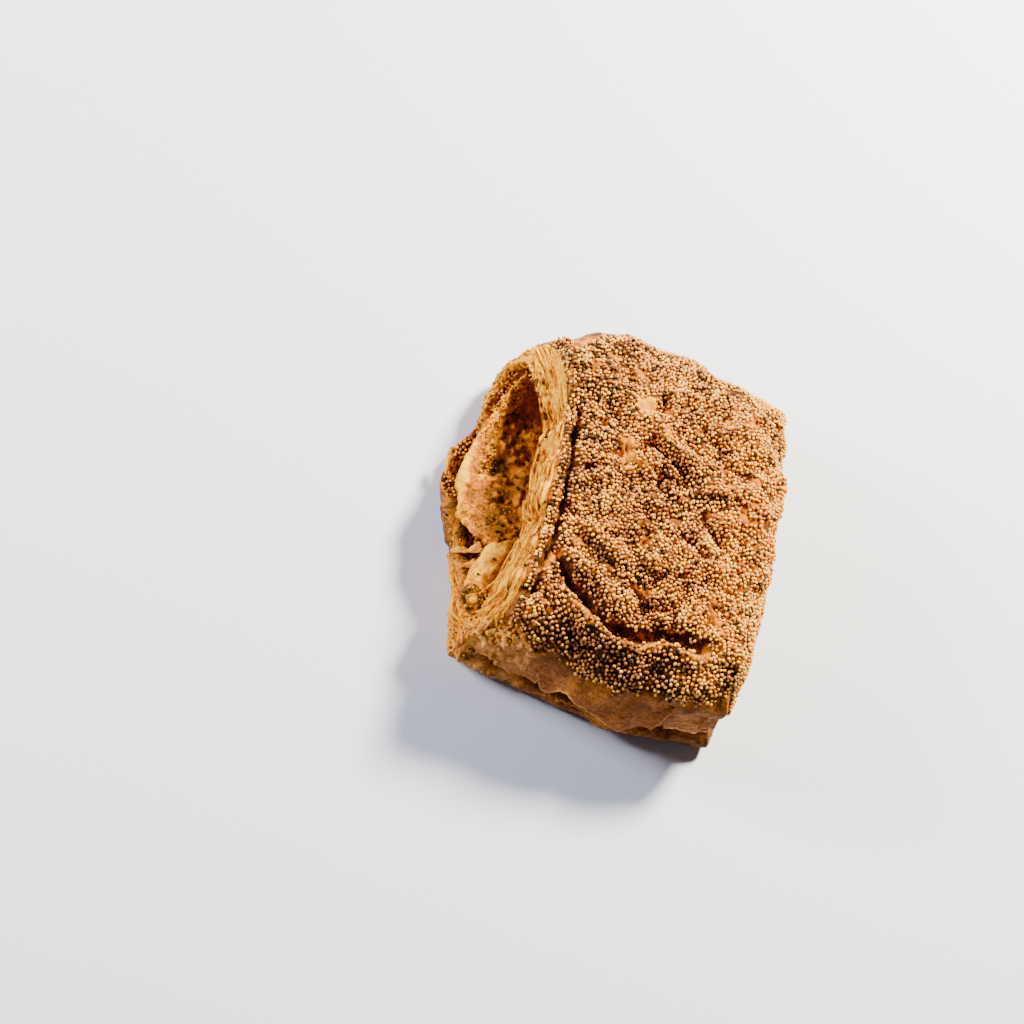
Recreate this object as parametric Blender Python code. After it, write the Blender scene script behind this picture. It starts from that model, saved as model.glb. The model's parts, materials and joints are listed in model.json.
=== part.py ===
"""A wholegrain poppy seed roll: laminated dough folded in three, topped with poppy seeds and cut across.

The folds face -Y and +Y, the open cut end faces -X and the tighter cut end faces +X. The top sheet wraps the
back fold down to the bottom flap, and turns in at the front to the inner flap, whose free edge stands out of
the open end below the top sheet. Lengths are in metres, +Z is up and the roll rests on z = 0.
"""

import math

import bmesh
import bpy
import numpy as np
from mathutils import Matrix, Vector
from mathutils.bvhtree import BVHTree

# Overall form: the folds and flaps reach lower and further out than the seeded top. Corners are (x, y).
HEIGHT = 0.0360
TOP_CORNERS = {"front_left": (-0.0236, -0.0452), "front_right": (0.0425, -0.0412),
               "back_left": (-0.0272, 0.0464), "back_right": (0.0382, 0.0456)}
SKIRT_CORNERS = {"front_left": (-0.0352, -0.0512), "front_right": (0.0476, -0.0572),
                 "back_left": (-0.0488, 0.0600), "back_right": (0.0478, 0.0548)}
TOP_ROUNDING = {"front_left": 0.16, "front_right": 0.24, "back_left": 0.20, "back_right": 0.30}
SKIRT_ROUNDING = {"front_left": 0.24, "front_right": 0.30, "back_left": 0.84, "back_right": 0.44}
TOP_EDGE_PULL = 0.0045
FLAP_REACH = {"length": 0.0072, "middle": -0.08, "half_width": 0.36}
TOP_FALL = {"front": 0.0034, "back": 0.0040, "open": 0.0004, "tight": 0.0022}
FALL_SHARPNESS = 6

# The sides' profiles as (share of the way from top outline to skirt, share of the height), bottom to top
FRONT_FOLD = ((0.62, 0.0), (0.93, 0.02), (1.02, 0.08), (1.00, 0.17), (0.58, 0.235), (0.92, 0.30),
              (0.97, 0.46), (0.80, 0.68), (0.46, 0.87), (0.0, 1.0))
BACK_FOLD = ((0.60, 0.0), (0.86, 0.03), (1.00, 0.16), (1.03, 0.35), (1.00, 0.52), (0.86, 0.72),
             (0.50, 0.90), (0.0, 1.0))
OPEN_END = ((0.84, 0.0), (0.98, 0.03), (1.00, 0.12), (0.95, 0.26), (0.84, 0.42), (0.52, 0.60),
            (0.16, 0.79), (0.0, 1.0))
TIGHT_END = ((0.40, 0.0), (0.70, 0.03), (0.98, 0.12), (0.90, 0.34), (1.02, 0.55), (0.80, 0.80),
             (0.42, 0.94), (0.0, 1.0))
SIDE_SHARPNESS = 7

# Relief of the seeded top
CREASE = {"lowest": (0.0163, -0.0426), "bend_left": 11.5, "bend_right": 14.0, "depth": 0.0036,
          "half_width": 0.0024, "from_x": -0.0190, "to_x": 0.0430}
RIM_GROOVE = {"inset": 0.0032, "depth": 0.0012, "half_width": 0.0009, "from_y": -0.0400, "to_y": 0.0400}
# Hollows and swellings of the top: x, y, radius, depth
HOLLOWS = ((0.0060, 0.0190, 0.0045, 0.0014), (0.0135, 0.0100, 0.0060, 0.0022), (0.0110, -0.0060, 0.0050, 0.0013),
           (0.0295, 0.0015, 0.0070, 0.0009), (-0.0105, -0.0155, 0.0060, 0.0009), (0.0255, -0.0245, 0.0060, 0.0008),
           (0.0035, -0.0285, 0.0050, -0.0010), (0.0305, 0.0275, 0.0070, -0.0009), (-0.0115, 0.0315, 0.0070, -0.0008))
LUMP_SIZES = ((0.0240, 0.00065), (0.0120, 0.00040))
LUMP_WAVES = 9
LUMP_SEED = 11

# The open end's mouth and the tight end's slits: ellipsoids squared off by a power under 1
OPEN_MOUTH = {"centre": (-0.0400, 0.0025, 0.0168), "half": (0.0270, 0.0375, 0.0118), "power": 0.72,
              "turn": 0.14, "tilt": 0.02}
TIGHT_SLITS = ({"centre": (0.0530, 0.0030, 0.0235), "half": (0.0150, 0.0370, 0.0017), "power": 0.80,
                "turn": 0.0, "tilt": 0.0},
               {"centre": (0.0530, -0.0030, 0.0115), "half": (0.0130, 0.0330, 0.0015), "power": 0.80,
                "turn": 0.0, "tilt": 0.0})
POCKET_RINGS = 12
POCKET_SEGMENTS = 24

# The inner flap: its free edge as (x, y), and its section. At the front it thickens to the turned-in fold.
FLAP_EDGE = ((-0.0320, -0.0400), (-0.0345, -0.0290), (-0.0335, -0.0190), (-0.0400, -0.0140),
             (-0.0445, -0.0060), (-0.0452, 0.0040), (-0.0440, 0.0150), (-0.0405, 0.0260), (-0.0350, 0.0390))
FLAP_ROOT_X = -0.0050
FLAP_ROOT_Z = 0.0205
FLAP_EDGE_Z = 0.0168
FLAP_THICKNESS = 0.0042
FLAP_WEDGE = 0.85           # the flap thickens by this share of the way in from its free edge
FLAP_DISH = 0.0024
TURNED_FOLD = {"thickness": 0.0130, "top": 0.0245, "from_y": -0.0150, "to_y": -0.0205}
BLISTER = {"at": (-0.0352, 0.0050), "radius": 0.0055, "height": 0.0022}

# Swellings on the sides: position, radius, height
SIDE_LUMPS = (((-0.0330, -0.0350, 0.0150), 0.0042, 0.0022), ((-0.0340, -0.0460, 0.0060), 0.0060, 0.0014),
              ((0.0100, -0.0500, 0.0150), 0.0100, 0.0012), ((-0.0060, -0.0480, 0.0140), 0.0090, -0.0012))

SEED_LENGTH = 0.0012
SEED_COUNT = 190
SEED_SINK = 0.30
SEED_LOWEST = 0.0200
SEED_DRAWS = 10
SEED_SEED = 5

SHARP_ANGLE = math.radians(40)
BODY_GRID = (23, 27, 11)
FLAP_GRID = (8, 16, 1)


def clear_scene():
    """Remove what the new file holds."""
    for obj in list(bpy.data.objects):
        bpy.data.objects.remove(obj, do_unlink=True)


def crust_material():
    """Baked wholegrain crust, golden brown and dull."""
    material = bpy.data.materials.new("baked_crust")
    material.use_nodes = True
    shader = material.node_tree.nodes["Principled BSDF"]
    shader.inputs["Base Color"].default_value = (0.52, 0.26, 0.085, 1.0)
    shader.inputs["Roughness"].default_value = 0.62
    shader.inputs["Metallic"].default_value = 0.0
    return material


def smooth_step(value, low, high):
    """0 below low, 1 above high and a smooth rise between."""
    share = np.clip((value - low) / (high - low), 0.0, 1.0)
    return share * share * (3.0 - 2.0 * share)


def corner_blend(corners, u, v):
    """Bilinear blend over the square of values given at its corners, one row for each point."""
    left, right = (1.0 - u) / 2.0, (1.0 + u) / 2.0
    front, back = (1.0 - v) / 2.0, (1.0 + v) / 2.0
    shares = {"front_left": left * front, "front_right": right * front,
              "back_left": left * back, "back_right": right * back}
    return sum(np.outer(share, corners[name]) for name, share in shares.items())


def rounded_plan(corners, rounding, u, v):
    """Plan position of the square's point (u, v) in a quadrilateral with rounded corners."""
    soft = corner_blend(rounding, u, v)[:, 0]
    round_u = u * np.sqrt(1.0 - soft * v * v / 2.0)
    round_v = v * np.sqrt(1.0 - soft * u * u / 2.0)
    return corner_blend(corners, round_u, round_v)


def top_plan(u, v):
    """Outline of the top sheet. Its cut edge at the open end is drawn in at the middle."""
    plan = rounded_plan(TOP_CORNERS, TOP_ROUNDING, u, v)
    plan[:, 0] += TOP_EDGE_PULL * (1.0 - v * v) * ((1.0 - u) / 2.0) ** 2
    return plan


def skirt_plan(u, v):
    """Outline of the folds and flaps. The flaps stand out at the middle of the open end."""
    plan = rounded_plan(SKIRT_CORNERS, SKIRT_ROUNDING, u, v)
    reach = np.exp(-((v - FLAP_REACH["middle"]) / FLAP_REACH["half_width"]) ** 2)
    plan[:, 0] -= FLAP_REACH["length"] * reach * ((1.0 - u) / 2.0) ** 2
    return plan


def nearness(u, v):
    """How near each point of the square is to each side, from 0 at the far side to 1."""
    return {"front": (1.0 - v) / 2.0, "back": (1.0 + v) / 2.0, "open": (1.0 - u) / 2.0, "tight": (1.0 + u) / 2.0}


def side_profile(u, v, w):
    """Share of the way out to the skirt, and share of the height, for w from 0 at the base to 1 at the top."""
    profiles = {"front": FRONT_FOLD, "back": BACK_FOLD, "open": OPEN_END, "tight": TIGHT_END}
    out, up, total = 0.0, 0.0, 0.0
    for side, near in nearness(u, v).items():
        shares = np.array(profiles[side])
        steps = np.linspace(0.0, 1.0, len(shares))
        weight = near ** SIDE_SHARPNESS
        out = out + weight * np.interp(w, steps, shares[:, 0])
        up = up + weight * np.interp(w, steps, shares[:, 1])
        total = total + weight
    return out / total, up / total


def lumps(x, y, z):
    """Irregular swelling: waves in many directions at each size."""
    draw = np.random.default_rng(LUMP_SEED)
    swell = np.zeros_like(x)
    for length, height in LUMP_SIZES:
        for _ in range(LUMP_WAVES):
            way = draw.normal(size=3)
            way /= np.linalg.norm(way)
            wave_number = 2.0 * math.pi / (length * draw.uniform(0.7, 1.4))
            shift = draw.uniform(0.0, 2.0 * math.pi)
            swell += height * np.cos(wave_number * (way[0] * x + way[1] * y + way[2] * z) + shift)
    return swell * math.sqrt(2.0 / LUMP_WAVES)


def crease_line(x):
    """Y of the front crease at x."""
    lowest_x, lowest_y = CREASE["lowest"]
    bend = np.where(x < lowest_x, CREASE["bend_left"], CREASE["bend_right"])
    return lowest_y + bend * (x - lowest_x) ** 2


def top_relief(x, y, edge_x):
    """Height added to the top at (x, y), whose cut edge is at edge_x."""
    start, end = CREASE["from_x"], CREASE["to_x"]
    along = smooth_step(x, start, start + 0.012) * (1.0 - smooth_step(x, end - 0.010, end))
    across = (y - crease_line(x)) / CREASE["half_width"]
    ridge = 0.22 * np.exp(-((across + 2.2) / 1.3) ** 2)
    relief = CREASE["depth"] * along * (ridge - np.exp(-across ** 2))
    groove = np.exp(-((x - edge_x - RIM_GROOVE["inset"]) / RIM_GROOVE["half_width"]) ** 2)
    inside = (smooth_step(y, RIM_GROOVE["from_y"], RIM_GROOVE["from_y"] + 0.008)
              * (1.0 - smooth_step(y, RIM_GROOVE["to_y"] - 0.008, RIM_GROOVE["to_y"])))
    relief -= RIM_GROOVE["depth"] * groove * inside
    for at_x, at_y, radius, depth in HOLLOWS:
        relief -= depth * np.exp(-((x - at_x) ** 2 + (y - at_y) ** 2) / radius ** 2)
    return relief


def side_relief(x, y, z):
    """Swelling outwards of the sides at a point."""
    swell = np.zeros_like(x)
    for (at_x, at_y, at_z), radius, height in SIDE_LUMPS:
        away = (x - at_x) ** 2 + (y - at_y) ** 2 + (z - at_z) ** 2
        swell += height * np.exp(-away / radius ** 2)
    return swell


def roll_surface(points):
    """Where each point of the cube from -1 to 1 lies on the uncut roll."""
    u, v = points[:, 0], points[:, 1]
    on_bottom = points[:, 2] < -1.0 + 1e-6
    on_top = points[:, 2] > 1.0 - 1e-6
    out, up = side_profile(u, v, (points[:, 2] + 1.0) / 2.0)
    top, skirt = top_plan(u, v), skirt_plan(u, v)
    plan = top + (skirt - top) * out[:, None]
    fall = sum(TOP_FALL[side] * near ** FALL_SHARPNESS for side, near in nearness(u, v).items())
    z = (HEIGHT - fall) * up
    x, y = plan.T
    swell = lumps(x, y, z)
    edge_x = top_plan(-np.ones_like(v), v)[:, 0]
    z = z + smooth_step(up, 0.80, 1.0) * (top_relief(x, y, edge_x) + swell)
    z = np.where(on_bottom, 0.0, z)
    outward = plan / (np.linalg.norm(plan, axis=1)[:, None] + 1e-9)
    on_side = np.where(on_top | on_bottom, 0.0, smooth_step(up, 0.0, 0.15))
    plan = plan + outward * ((swell + side_relief(x, y, z)) * on_side)[:, None]
    return np.column_stack([plan, z])


def flap_surface(points):
    """The inner flap as a bent slab: u from its root inside the roll to its free edge, v along the edge."""
    u, v, w = (points[:, 0] + 1.0) / 2.0, (points[:, 1] + 1.0) / 2.0, points[:, 2]
    edge = np.array(FLAP_EDGE)
    y = edge[0, 1] + (edge[-1, 1] - edge[0, 1]) * v
    edge_x = np.interp(y, edge[:, 1], edge[:, 0])
    x = FLAP_ROOT_X + (edge_x - FLAP_ROOT_X) * u
    turned = 1.0 - smooth_step(y, TURNED_FOLD["to_y"], TURNED_FOLD["from_y"])
    dish = FLAP_DISH * np.sin(math.pi * u) * np.sin(math.pi * v)
    away = ((x - BLISTER["at"][0]) ** 2 + (y - BLISTER["at"][1]) ** 2) / BLISTER["radius"] ** 2
    top = FLAP_ROOT_Z + (FLAP_EDGE_Z - FLAP_ROOT_Z) * u - dish + BLISTER["height"] * np.exp(-away)
    fold_top = TURNED_FOLD["top"] - 0.010 * u ** 5
    top = top + (fold_top - top) * turned
    thickness = FLAP_THICKNESS + (TURNED_FOLD["thickness"] - FLAP_THICKNESS) * turned
    thickness = thickness + FLAP_WEDGE * np.minimum((1.0 - u) * (FLAP_ROOT_X - edge_x), 0.012)
    z = np.where(w > 0.0, top, top - thickness * np.sqrt(1.0 - 0.4 * u ** 8))
    return np.column_stack([x, y, z])


def cube_grid(name, counts, place):
    """A closed box with counts quads along X, Y and Z, its vertices moved by place."""
    bm = bmesh.new()
    bmesh.ops.create_cube(bm, size=2.0)
    for axis, count in enumerate(counts):
        if count == 1:
            continue
        along = [edge for edge in bm.edges
                 if abs(edge.verts[0].co[axis] - edge.verts[1].co[axis]) > 1e-6]
        bmesh.ops.subdivide_edges(bm, edges=along, cuts=count - 1, use_grid_fill=True)
    positions = place(np.array([vert.co for vert in bm.verts]))
    for vert, position in zip(bm.verts, positions):
        vert.co = position
    bmesh.ops.recalc_face_normals(bm, faces=bm.faces)
    return to_mesh(name, bm)


def to_mesh(name, bm):
    """A new mesh from bm, which is freed."""
    mesh = bpy.data.meshes.new(name)
    bm.to_mesh(mesh)
    bm.free()
    return mesh


def add_object(name, mesh, collection):
    """A new object with the mesh, in the collection."""
    obj = bpy.data.objects.new(name, mesh)
    collection.objects.link(obj)
    return obj


def pocket_cutter(name, pocket, collection):
    """A flattened, squared-off ellipsoid, whose outer half lies past the cut end."""
    bm = bmesh.new()
    bmesh.ops.create_uvsphere(bm, u_segments=POCKET_SEGMENTS, v_segments=POCKET_RINGS, radius=1.0)
    turn = Matrix.Rotation(pocket["turn"], 3, "Z") @ Matrix.Rotation(pocket["tilt"], 3, "Y")
    half = Matrix.Diagonal(pocket["half"])
    for vert in bm.verts:
        squared = Vector([math.copysign(abs(value) ** pocket["power"], value) for value in vert.co])
        vert.co = turn @ (half @ squared) + Vector(pocket["centre"])
    cutter = add_object(name, to_mesh(name, bm), collection)
    cutter.hide_render = True
    cutter.display_type = "WIRE"
    return cutter


def apply_modifiers(obj):
    """Keep the object's shape as its modifiers make it, and remove them."""
    bpy.context.view_layer.update()
    graph = bpy.context.evaluated_depsgraph_get()
    mesh = bpy.data.meshes.new_from_object(obj.evaluated_get(graph))
    obj.modifiers.clear()
    obj.data = mesh


def cut(obj, cutter):
    """Cut the cutter's shape out of obj, for good, and remove the cutter."""
    modifier = obj.modifiers.new("cut", "BOOLEAN")
    modifier.operation = "DIFFERENCE"
    modifier.object = cutter
    apply_modifiers(obj)
    bpy.data.objects.remove(cutter, do_unlink=True)


def join(obj, collection):
    """Join the collection's objects to obj in one union, for good, and remove them."""
    modifier = obj.modifiers.new("join", "BOOLEAN")
    modifier.operation = "UNION"
    modifier.operand_type = "COLLECTION"
    modifier.collection = collection
    apply_modifiers(obj)
    for item in list(collection.objects):
        bpy.data.objects.remove(item, do_unlink=True)
    keep_outer_skin(obj)


def connected_faces(bm):
    """The mesh's faces in connected groups, the largest group first."""
    left = set(bm.faces)
    groups = []
    while left:
        first = left.pop()
        group, to_visit = [], [first]
        while to_visit:
            face = to_visit.pop()
            group.append(face)
            near = {other for edge in face.edges for other in edge.link_faces} & left
            left -= near
            to_visit.extend(near)
        groups.append(group)
    return sorted(groups, key=len, reverse=True)


def keep_outer_skin(obj):
    """Fill sealed hollows and drop loose scrap: only the largest connected surface stays."""
    bm = bmesh.new()
    bm.from_mesh(obj.data)
    scrap = [face for group in connected_faces(bm)[1:] for face in group]
    bmesh.ops.delete(bm, geom=scrap, context="FACES")
    bm.to_mesh(obj.data)
    bm.free()


def merge_flat_base(obj):
    """Make the base one flat face."""
    modifier = obj.modifiers.new("flat_base", "DECIMATE")
    modifier.decimate_type = "DISSOLVE"
    modifier.angle_limit = math.radians(0.5)
    apply_modifiers(obj)


def seed_places(body):
    """Points and normals on the seeded crust, evenly spread: of each few draws, the one furthest from the rest."""
    bpy.context.view_layer.update()
    tree = BVHTree.FromObject(body, bpy.context.evaluated_depsgraph_get())
    draw = np.random.default_rng(SEED_SEED)
    chosen = []
    while len(chosen) < SEED_COUNT:
        best, best_gap = None, -1.0
        for u, v in draw.uniform(-1.2, 1.2, size=(SEED_DRAWS, 2)):
            plan = corner_blend(TOP_CORNERS, np.array([u]), np.array([v]))[0]
            above = Vector((plan[0], plan[1], 2.0 * HEIGHT))
            hit, normal, _, _ = tree.ray_cast(above, Vector((0.0, 0.0, -1.0)))
            if hit is None or hit.z < SEED_LOWEST or plan[0] < top_plan(np.array([-1.0]), np.array([v]))[0, 0]:
                continue
            gap = min(((hit - other).length for other, _ in chosen), default=1.0)
            if gap > best_gap:
                best, best_gap = (hit, normal), gap
        if best:
            chosen.append(best)
    return chosen


def add_seeds(body, collection):
    """Poppy seeds: small rounded grains, each partly sunk in the crust."""
    draw = np.random.default_rng(SEED_SEED + 1)
    squash = Matrix.Diagonal((1.0, 0.82, 0.85))
    for number, (at, normal) in enumerate(seed_places(body)):
        bm = bmesh.new()
        bmesh.ops.create_icosphere(bm, subdivisions=1, radius=0.5 * SEED_LENGTH * draw.uniform(0.88, 1.10))
        turn = normal.to_track_quat("Z", "Y").to_matrix() @ Matrix.Rotation(draw.uniform(0.0, math.pi), 3, "Z")
        centre = at + normal * SEED_LENGTH * (0.5 - SEED_SINK)
        for vert in bm.verts:
            vert.co = turn @ (squash @ vert.co) + centre
        name = f"seed_{number:03d}"
        add_object(name, to_mesh(name, bm), collection)


def centre_on_base(obj):
    """Put the middle of the bounding box's bottom at the origin."""
    at = np.array([vert.co for vert in obj.data.vertices])
    low, high = at.min(axis=0), at.max(axis=0)
    middle = Vector(((low[0] + high[0]) / 2.0, (low[1] + high[1]) / 2.0, low[2]))
    obj.data.transform(Matrix.Translation(-middle))


def main():
    clear_scene()
    parts = bpy.data.collections.new("poppy_seed_roll")
    cutters = bpy.data.collections.new("cutters")
    joined = bpy.data.collections.new("joined_pieces")
    for collection in (parts, cutters, joined):
        bpy.context.scene.collection.children.link(collection)

    roll = add_object("roll", cube_grid("roll", BODY_GRID, roll_surface), parts)
    cut(roll, pocket_cutter("open_mouth", OPEN_MOUTH, cutters))
    for number, slit in enumerate(TIGHT_SLITS):
        cut(roll, pocket_cutter(f"tight_slit_{number}", slit, cutters))
    add_object("inner_flap", cube_grid("inner_flap", FLAP_GRID, flap_surface), joined)
    join(roll, joined)
    merge_flat_base(roll)
    add_seeds(roll, joined)
    join(roll, joined)
    centre_on_base(roll)
    roll.data.shade_smooth()
    roll.data.set_sharp_from_angle(angle=SHARP_ANGLE)
    roll.data.materials.clear()
    roll.data.materials.append(crust_material())


main()
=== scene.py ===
"""A wholegrain poppy seed roll: baked crust, cut end with its layers, inner flap, flakes, crumbs and poppy seeds."""

import itertools
import json
import math

import bmesh
import bpy
import numpy as np
from bpy.props import FloatProperty, FloatVectorProperty, IntProperty, PointerProperty
from mathutils import Matrix, Vector
from mathutils.bvhtree import BVHTree

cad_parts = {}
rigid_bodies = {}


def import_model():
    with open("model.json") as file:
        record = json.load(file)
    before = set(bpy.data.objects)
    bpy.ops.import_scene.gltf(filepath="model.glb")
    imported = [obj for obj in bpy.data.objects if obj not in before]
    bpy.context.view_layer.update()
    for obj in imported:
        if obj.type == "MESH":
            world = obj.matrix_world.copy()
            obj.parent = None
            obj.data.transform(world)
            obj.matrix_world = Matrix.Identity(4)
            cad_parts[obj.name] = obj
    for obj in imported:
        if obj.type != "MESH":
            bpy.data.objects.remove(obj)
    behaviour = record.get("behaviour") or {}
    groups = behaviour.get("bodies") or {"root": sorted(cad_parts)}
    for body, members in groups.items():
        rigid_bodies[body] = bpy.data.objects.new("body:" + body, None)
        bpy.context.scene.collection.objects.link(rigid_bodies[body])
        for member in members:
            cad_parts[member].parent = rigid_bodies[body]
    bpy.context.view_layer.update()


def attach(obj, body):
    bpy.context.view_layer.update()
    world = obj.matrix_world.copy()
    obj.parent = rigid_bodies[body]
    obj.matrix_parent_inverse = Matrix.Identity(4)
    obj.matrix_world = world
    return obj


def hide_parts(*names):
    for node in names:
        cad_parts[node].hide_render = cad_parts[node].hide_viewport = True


bl_info = {
    "name": "Poppy seed roll",
    "version": (1, 0, 0),
    "blender": (4, 5, 0),
    "location": "View3D > Sidebar > Roll",
    "description": "Builds a wholegrain poppy seed roll round its packed solid",
    "category": "Add Mesh",
}

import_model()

# The roll's outline, as in its solid: the folds and flaps reach lower and further out than the seeded top
TOP_CORNERS = {"front_left": (-0.0236, -0.0452), "front_right": (0.0425, -0.0412),
               "back_left": (-0.0272, 0.0464), "back_right": (0.0382, 0.0456)}
SKIRT_CORNERS = {"front_left": (-0.0352, -0.0512), "front_right": (0.0476, -0.0572),
                 "back_left": (-0.0488, 0.0600), "back_right": (0.0478, 0.0548)}
TOP_ROUNDING = {"front_left": 0.16, "front_right": 0.24, "back_left": 0.20, "back_right": 0.30}
SKIRT_ROUNDING = {"front_left": 0.24, "front_right": 0.30, "back_left": 0.84, "back_right": 0.44}
TOP_EDGE_PULL = 0.0045
FLAP_REACH = {"length": 0.0072, "middle": -0.08, "half_width": 0.36}
TOP_FALL = {"front": 0.0034, "back": 0.0040, "open": 0.0004, "tight": 0.0022}
FALL_SHARPNESS = 6
SIDE_SHARPNESS = 7

# The sides' profiles as (share of the way from top outline to skirt, share of the height), bottom to top
FRONT_FOLD = ((0.62, 0.0), (0.93, 0.02), (1.02, 0.08), (1.00, 0.17), (0.58, 0.235), (0.92, 0.30),
              (0.97, 0.46), (0.80, 0.68), (0.46, 0.87), (0.0, 1.0))
BACK_FOLD = ((0.60, 0.0), (0.86, 0.03), (1.00, 0.16), (1.03, 0.35), (1.00, 0.52), (0.86, 0.72),
             (0.50, 0.90), (0.0, 1.0))
OPEN_END = ((0.84, 0.0), (0.98, 0.03), (1.00, 0.12), (0.95, 0.26), (0.84, 0.42), (0.52, 0.60),
            (0.16, 0.79), (0.0, 1.0))
TIGHT_END = ((0.40, 0.0), (0.70, 0.03), (0.98, 0.12), (0.90, 0.34), (1.02, 0.55), (0.80, 0.80),
             (0.42, 0.94), (0.0, 1.0))

# Relief of the seeded top. A line is given by its points in plan, and its relief fades at its two ends
CREASE = {"line": ((-0.0165, -0.0205), (-0.0147, -0.0231), (-0.0112, -0.0270), (-0.0055, -0.0328),
                   (-0.0004, -0.0361), (0.0060, -0.0386), (0.0118, -0.0387), (0.0158, -0.0371),
                   (0.0197, -0.0352), (0.0242, -0.0356), (0.0294, -0.0366), (0.0343, -0.0352),
                   (0.0365, -0.0338)),
          "depth": 0.0036, "half_width": 0.0020, "ridge": 0.30}
RIM_GROOVE = {"inset": 0.0032, "depth": 0.0023, "half_width": 0.0011, "from_y": -0.0410, "to_y": 0.0250}
HOLLOWS = ((0.0060, 0.0190, 0.0045, 0.0014), (0.0135, 0.0100, 0.0060, 0.0022), (0.0110, -0.0060, 0.0050, 0.0013),
           (0.0295, 0.0015, 0.0070, 0.0009), (-0.0105, -0.0155, 0.0060, 0.0009), (0.0255, -0.0245, 0.0060, 0.0008),
           (0.0035, -0.0285, 0.0050, -0.0010), (0.0305, 0.0275, 0.0070, -0.0009), (-0.0115, 0.0315, 0.0070, -0.0008))
# Each valley: its line, half width and depth. A negative depth is a ridge
VALLEYS = ((((0.0014, 0.0199), (0.0061, 0.0175), (0.0117, 0.0150), (0.0177, 0.0125)), 0.0016, 0.0021),
           (((0.0073, 0.0160), (0.0076, 0.0119), (0.0083, 0.0043)), 0.0014, 0.0017),
           (((0.0027, -0.0084), (0.0075, -0.0078), (0.0076, -0.0112), (0.0072, -0.0147)), 0.0013, 0.0016),
           (((0.0165, 0.0288), (0.0211, 0.0243), (0.0276, 0.0225)), 0.0013, 0.0010),
           (((0.0019, 0.0370), (0.0048, 0.0340), (0.0038, 0.0279)), 0.0013, 0.0013),
           (((-0.0055, -0.0137), (-0.0007, -0.0135), (-0.0021, -0.0169)), 0.0012, 0.0010),
           (((-0.0161, 0.0047), (-0.0105, 0.0057), (-0.0067, 0.0090)), 0.0013, 0.0011),
           (((0.0200, 0.0026), (0.0241, 0.0001), (0.0302, -0.0072)), 0.0014, 0.0011),
           (((0.0152, -0.0061), (0.0215, -0.0079), (0.0271, -0.0131)), 0.0016, 0.0012),
           (((0.0060, -0.0275), (0.0090, -0.0288), (0.0146, -0.0296), (0.0211, -0.0297)), 0.0014, 0.0010),
           (((0.0020, 0.0130), (0.0022, 0.0160), (0.0018, 0.0192)), 0.0010, 0.0011),
           (((0.0044, 0.0248), (0.0073, 0.0218), (0.0097, 0.0236)), 0.0014, -0.0010),
           (((-0.0040, 0.0240), (0.0000, 0.0262), (0.0030, 0.0275)), 0.0016, -0.0008),
           (((0.0180, 0.0100), (0.0240, 0.0080), (0.0300, 0.0090)), 0.0018, -0.0009),
           (((-0.0120, -0.0200), (-0.0060, -0.0240), (0.0000, -0.0270)), 0.0022, -0.0009),
           (((0.0080, -0.0180), (0.0140, -0.0200), (0.0220, -0.0230)), 0.0022, -0.0010))
WRINKLE_TURN = -24.0
# Crust left bare of seeds: place, half length, half width, turn in degrees, browning and dusting of pale flour
BARE_PATCHES = ((-0.0005, 0.0300, 0.0036, 0.0024, 20.0, 0.32, 0.5), (0.0070, 0.0230, 0.0028, 0.0011, -40.0, 0.34, 0.4),
                # The fourth patch, beside the lifted skin of the third, is a painted shadow: its browning is painted
                # shade
                (-0.0024, 0.0136, 0.0052, 0.0027, 100.0, 0.34, 0.5), (0.0018, 0.0155, 0.0034, 0.0010, 92.0, 0.62, 0.0),
                (0.0063, 0.0302, 0.0021, 0.0011, -30.0, 0.46, 0.1), (0.0243, 0.0330, 0.0022, 0.0009, -18.0, 0.20, 0.8),
                (-0.0040, 0.0404, 0.0020, 0.0010, -20.0, 0.50, 0.1), (-0.0122, 0.0437, 0.0018, 0.0009, 0.0, 0.50, 0.1),
                (-0.0216, 0.0480, 0.0075, 0.0028, 54.0, 0.52, 0.0),
                (-0.0090, -0.0175, 0.0024, 0.0009, -15.0, 0.50, 0.1),
                (-0.0160, -0.0250, 0.0060, 0.0011, 62.0, 0.46, 0.5), (0.0076, -0.0135, 0.0018, 0.0008, 80.0, 0.66, 0.0))
LUMP_SIZES = ((0.0240, 0.00065), (0.0120, 0.00040))
LUMP_WAVES = 9
LUMP_SEED = 11
SIDE_LUMPS = (((-0.0330, -0.0350, 0.0150), 0.0042, 0.0022), ((-0.0340, -0.0460, 0.0060), 0.0060, 0.0014),
              ((0.0100, -0.0500, 0.0150), 0.0100, 0.0012), ((-0.0060, -0.0480, 0.0140), 0.0090, -0.0012))

# The open end's mouth and the tight end's slits
OPEN_MOUTH = {"centre": (-0.0400, 0.0025, 0.0168), "half": (0.0270, 0.0375, 0.0118), "power": 0.72,
              "turn": 0.14, "tilt": 0.02, "taper": 0.30, "rough": 0.0006}
TIGHT_SLITS = ({"centre": (0.0530, 0.0030, 0.0235), "half": (0.0150, 0.0370, 0.0017), "power": 0.80,
                "turn": 0.0, "tilt": 0.0, "taper": 0.0, "rough": 0.0003},
               {"centre": (0.0530, -0.0030, 0.0115), "half": (0.0130, 0.0330, 0.0015), "power": 0.80,
                "turn": 0.0, "tilt": 0.0, "taper": 0.0, "rough": 0.0003})

# Point in the mouth that the leaves are laid round, on the open end's square from -1 to 1, along the end and up it
MOUTH_MIDDLE = (0.0573, -0.0318)
# How square the leaves' outer edge is: 2 is an ellipse
LEAF_CORNERS = {"back": 4.0, "elsewhere": 12.0}

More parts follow.
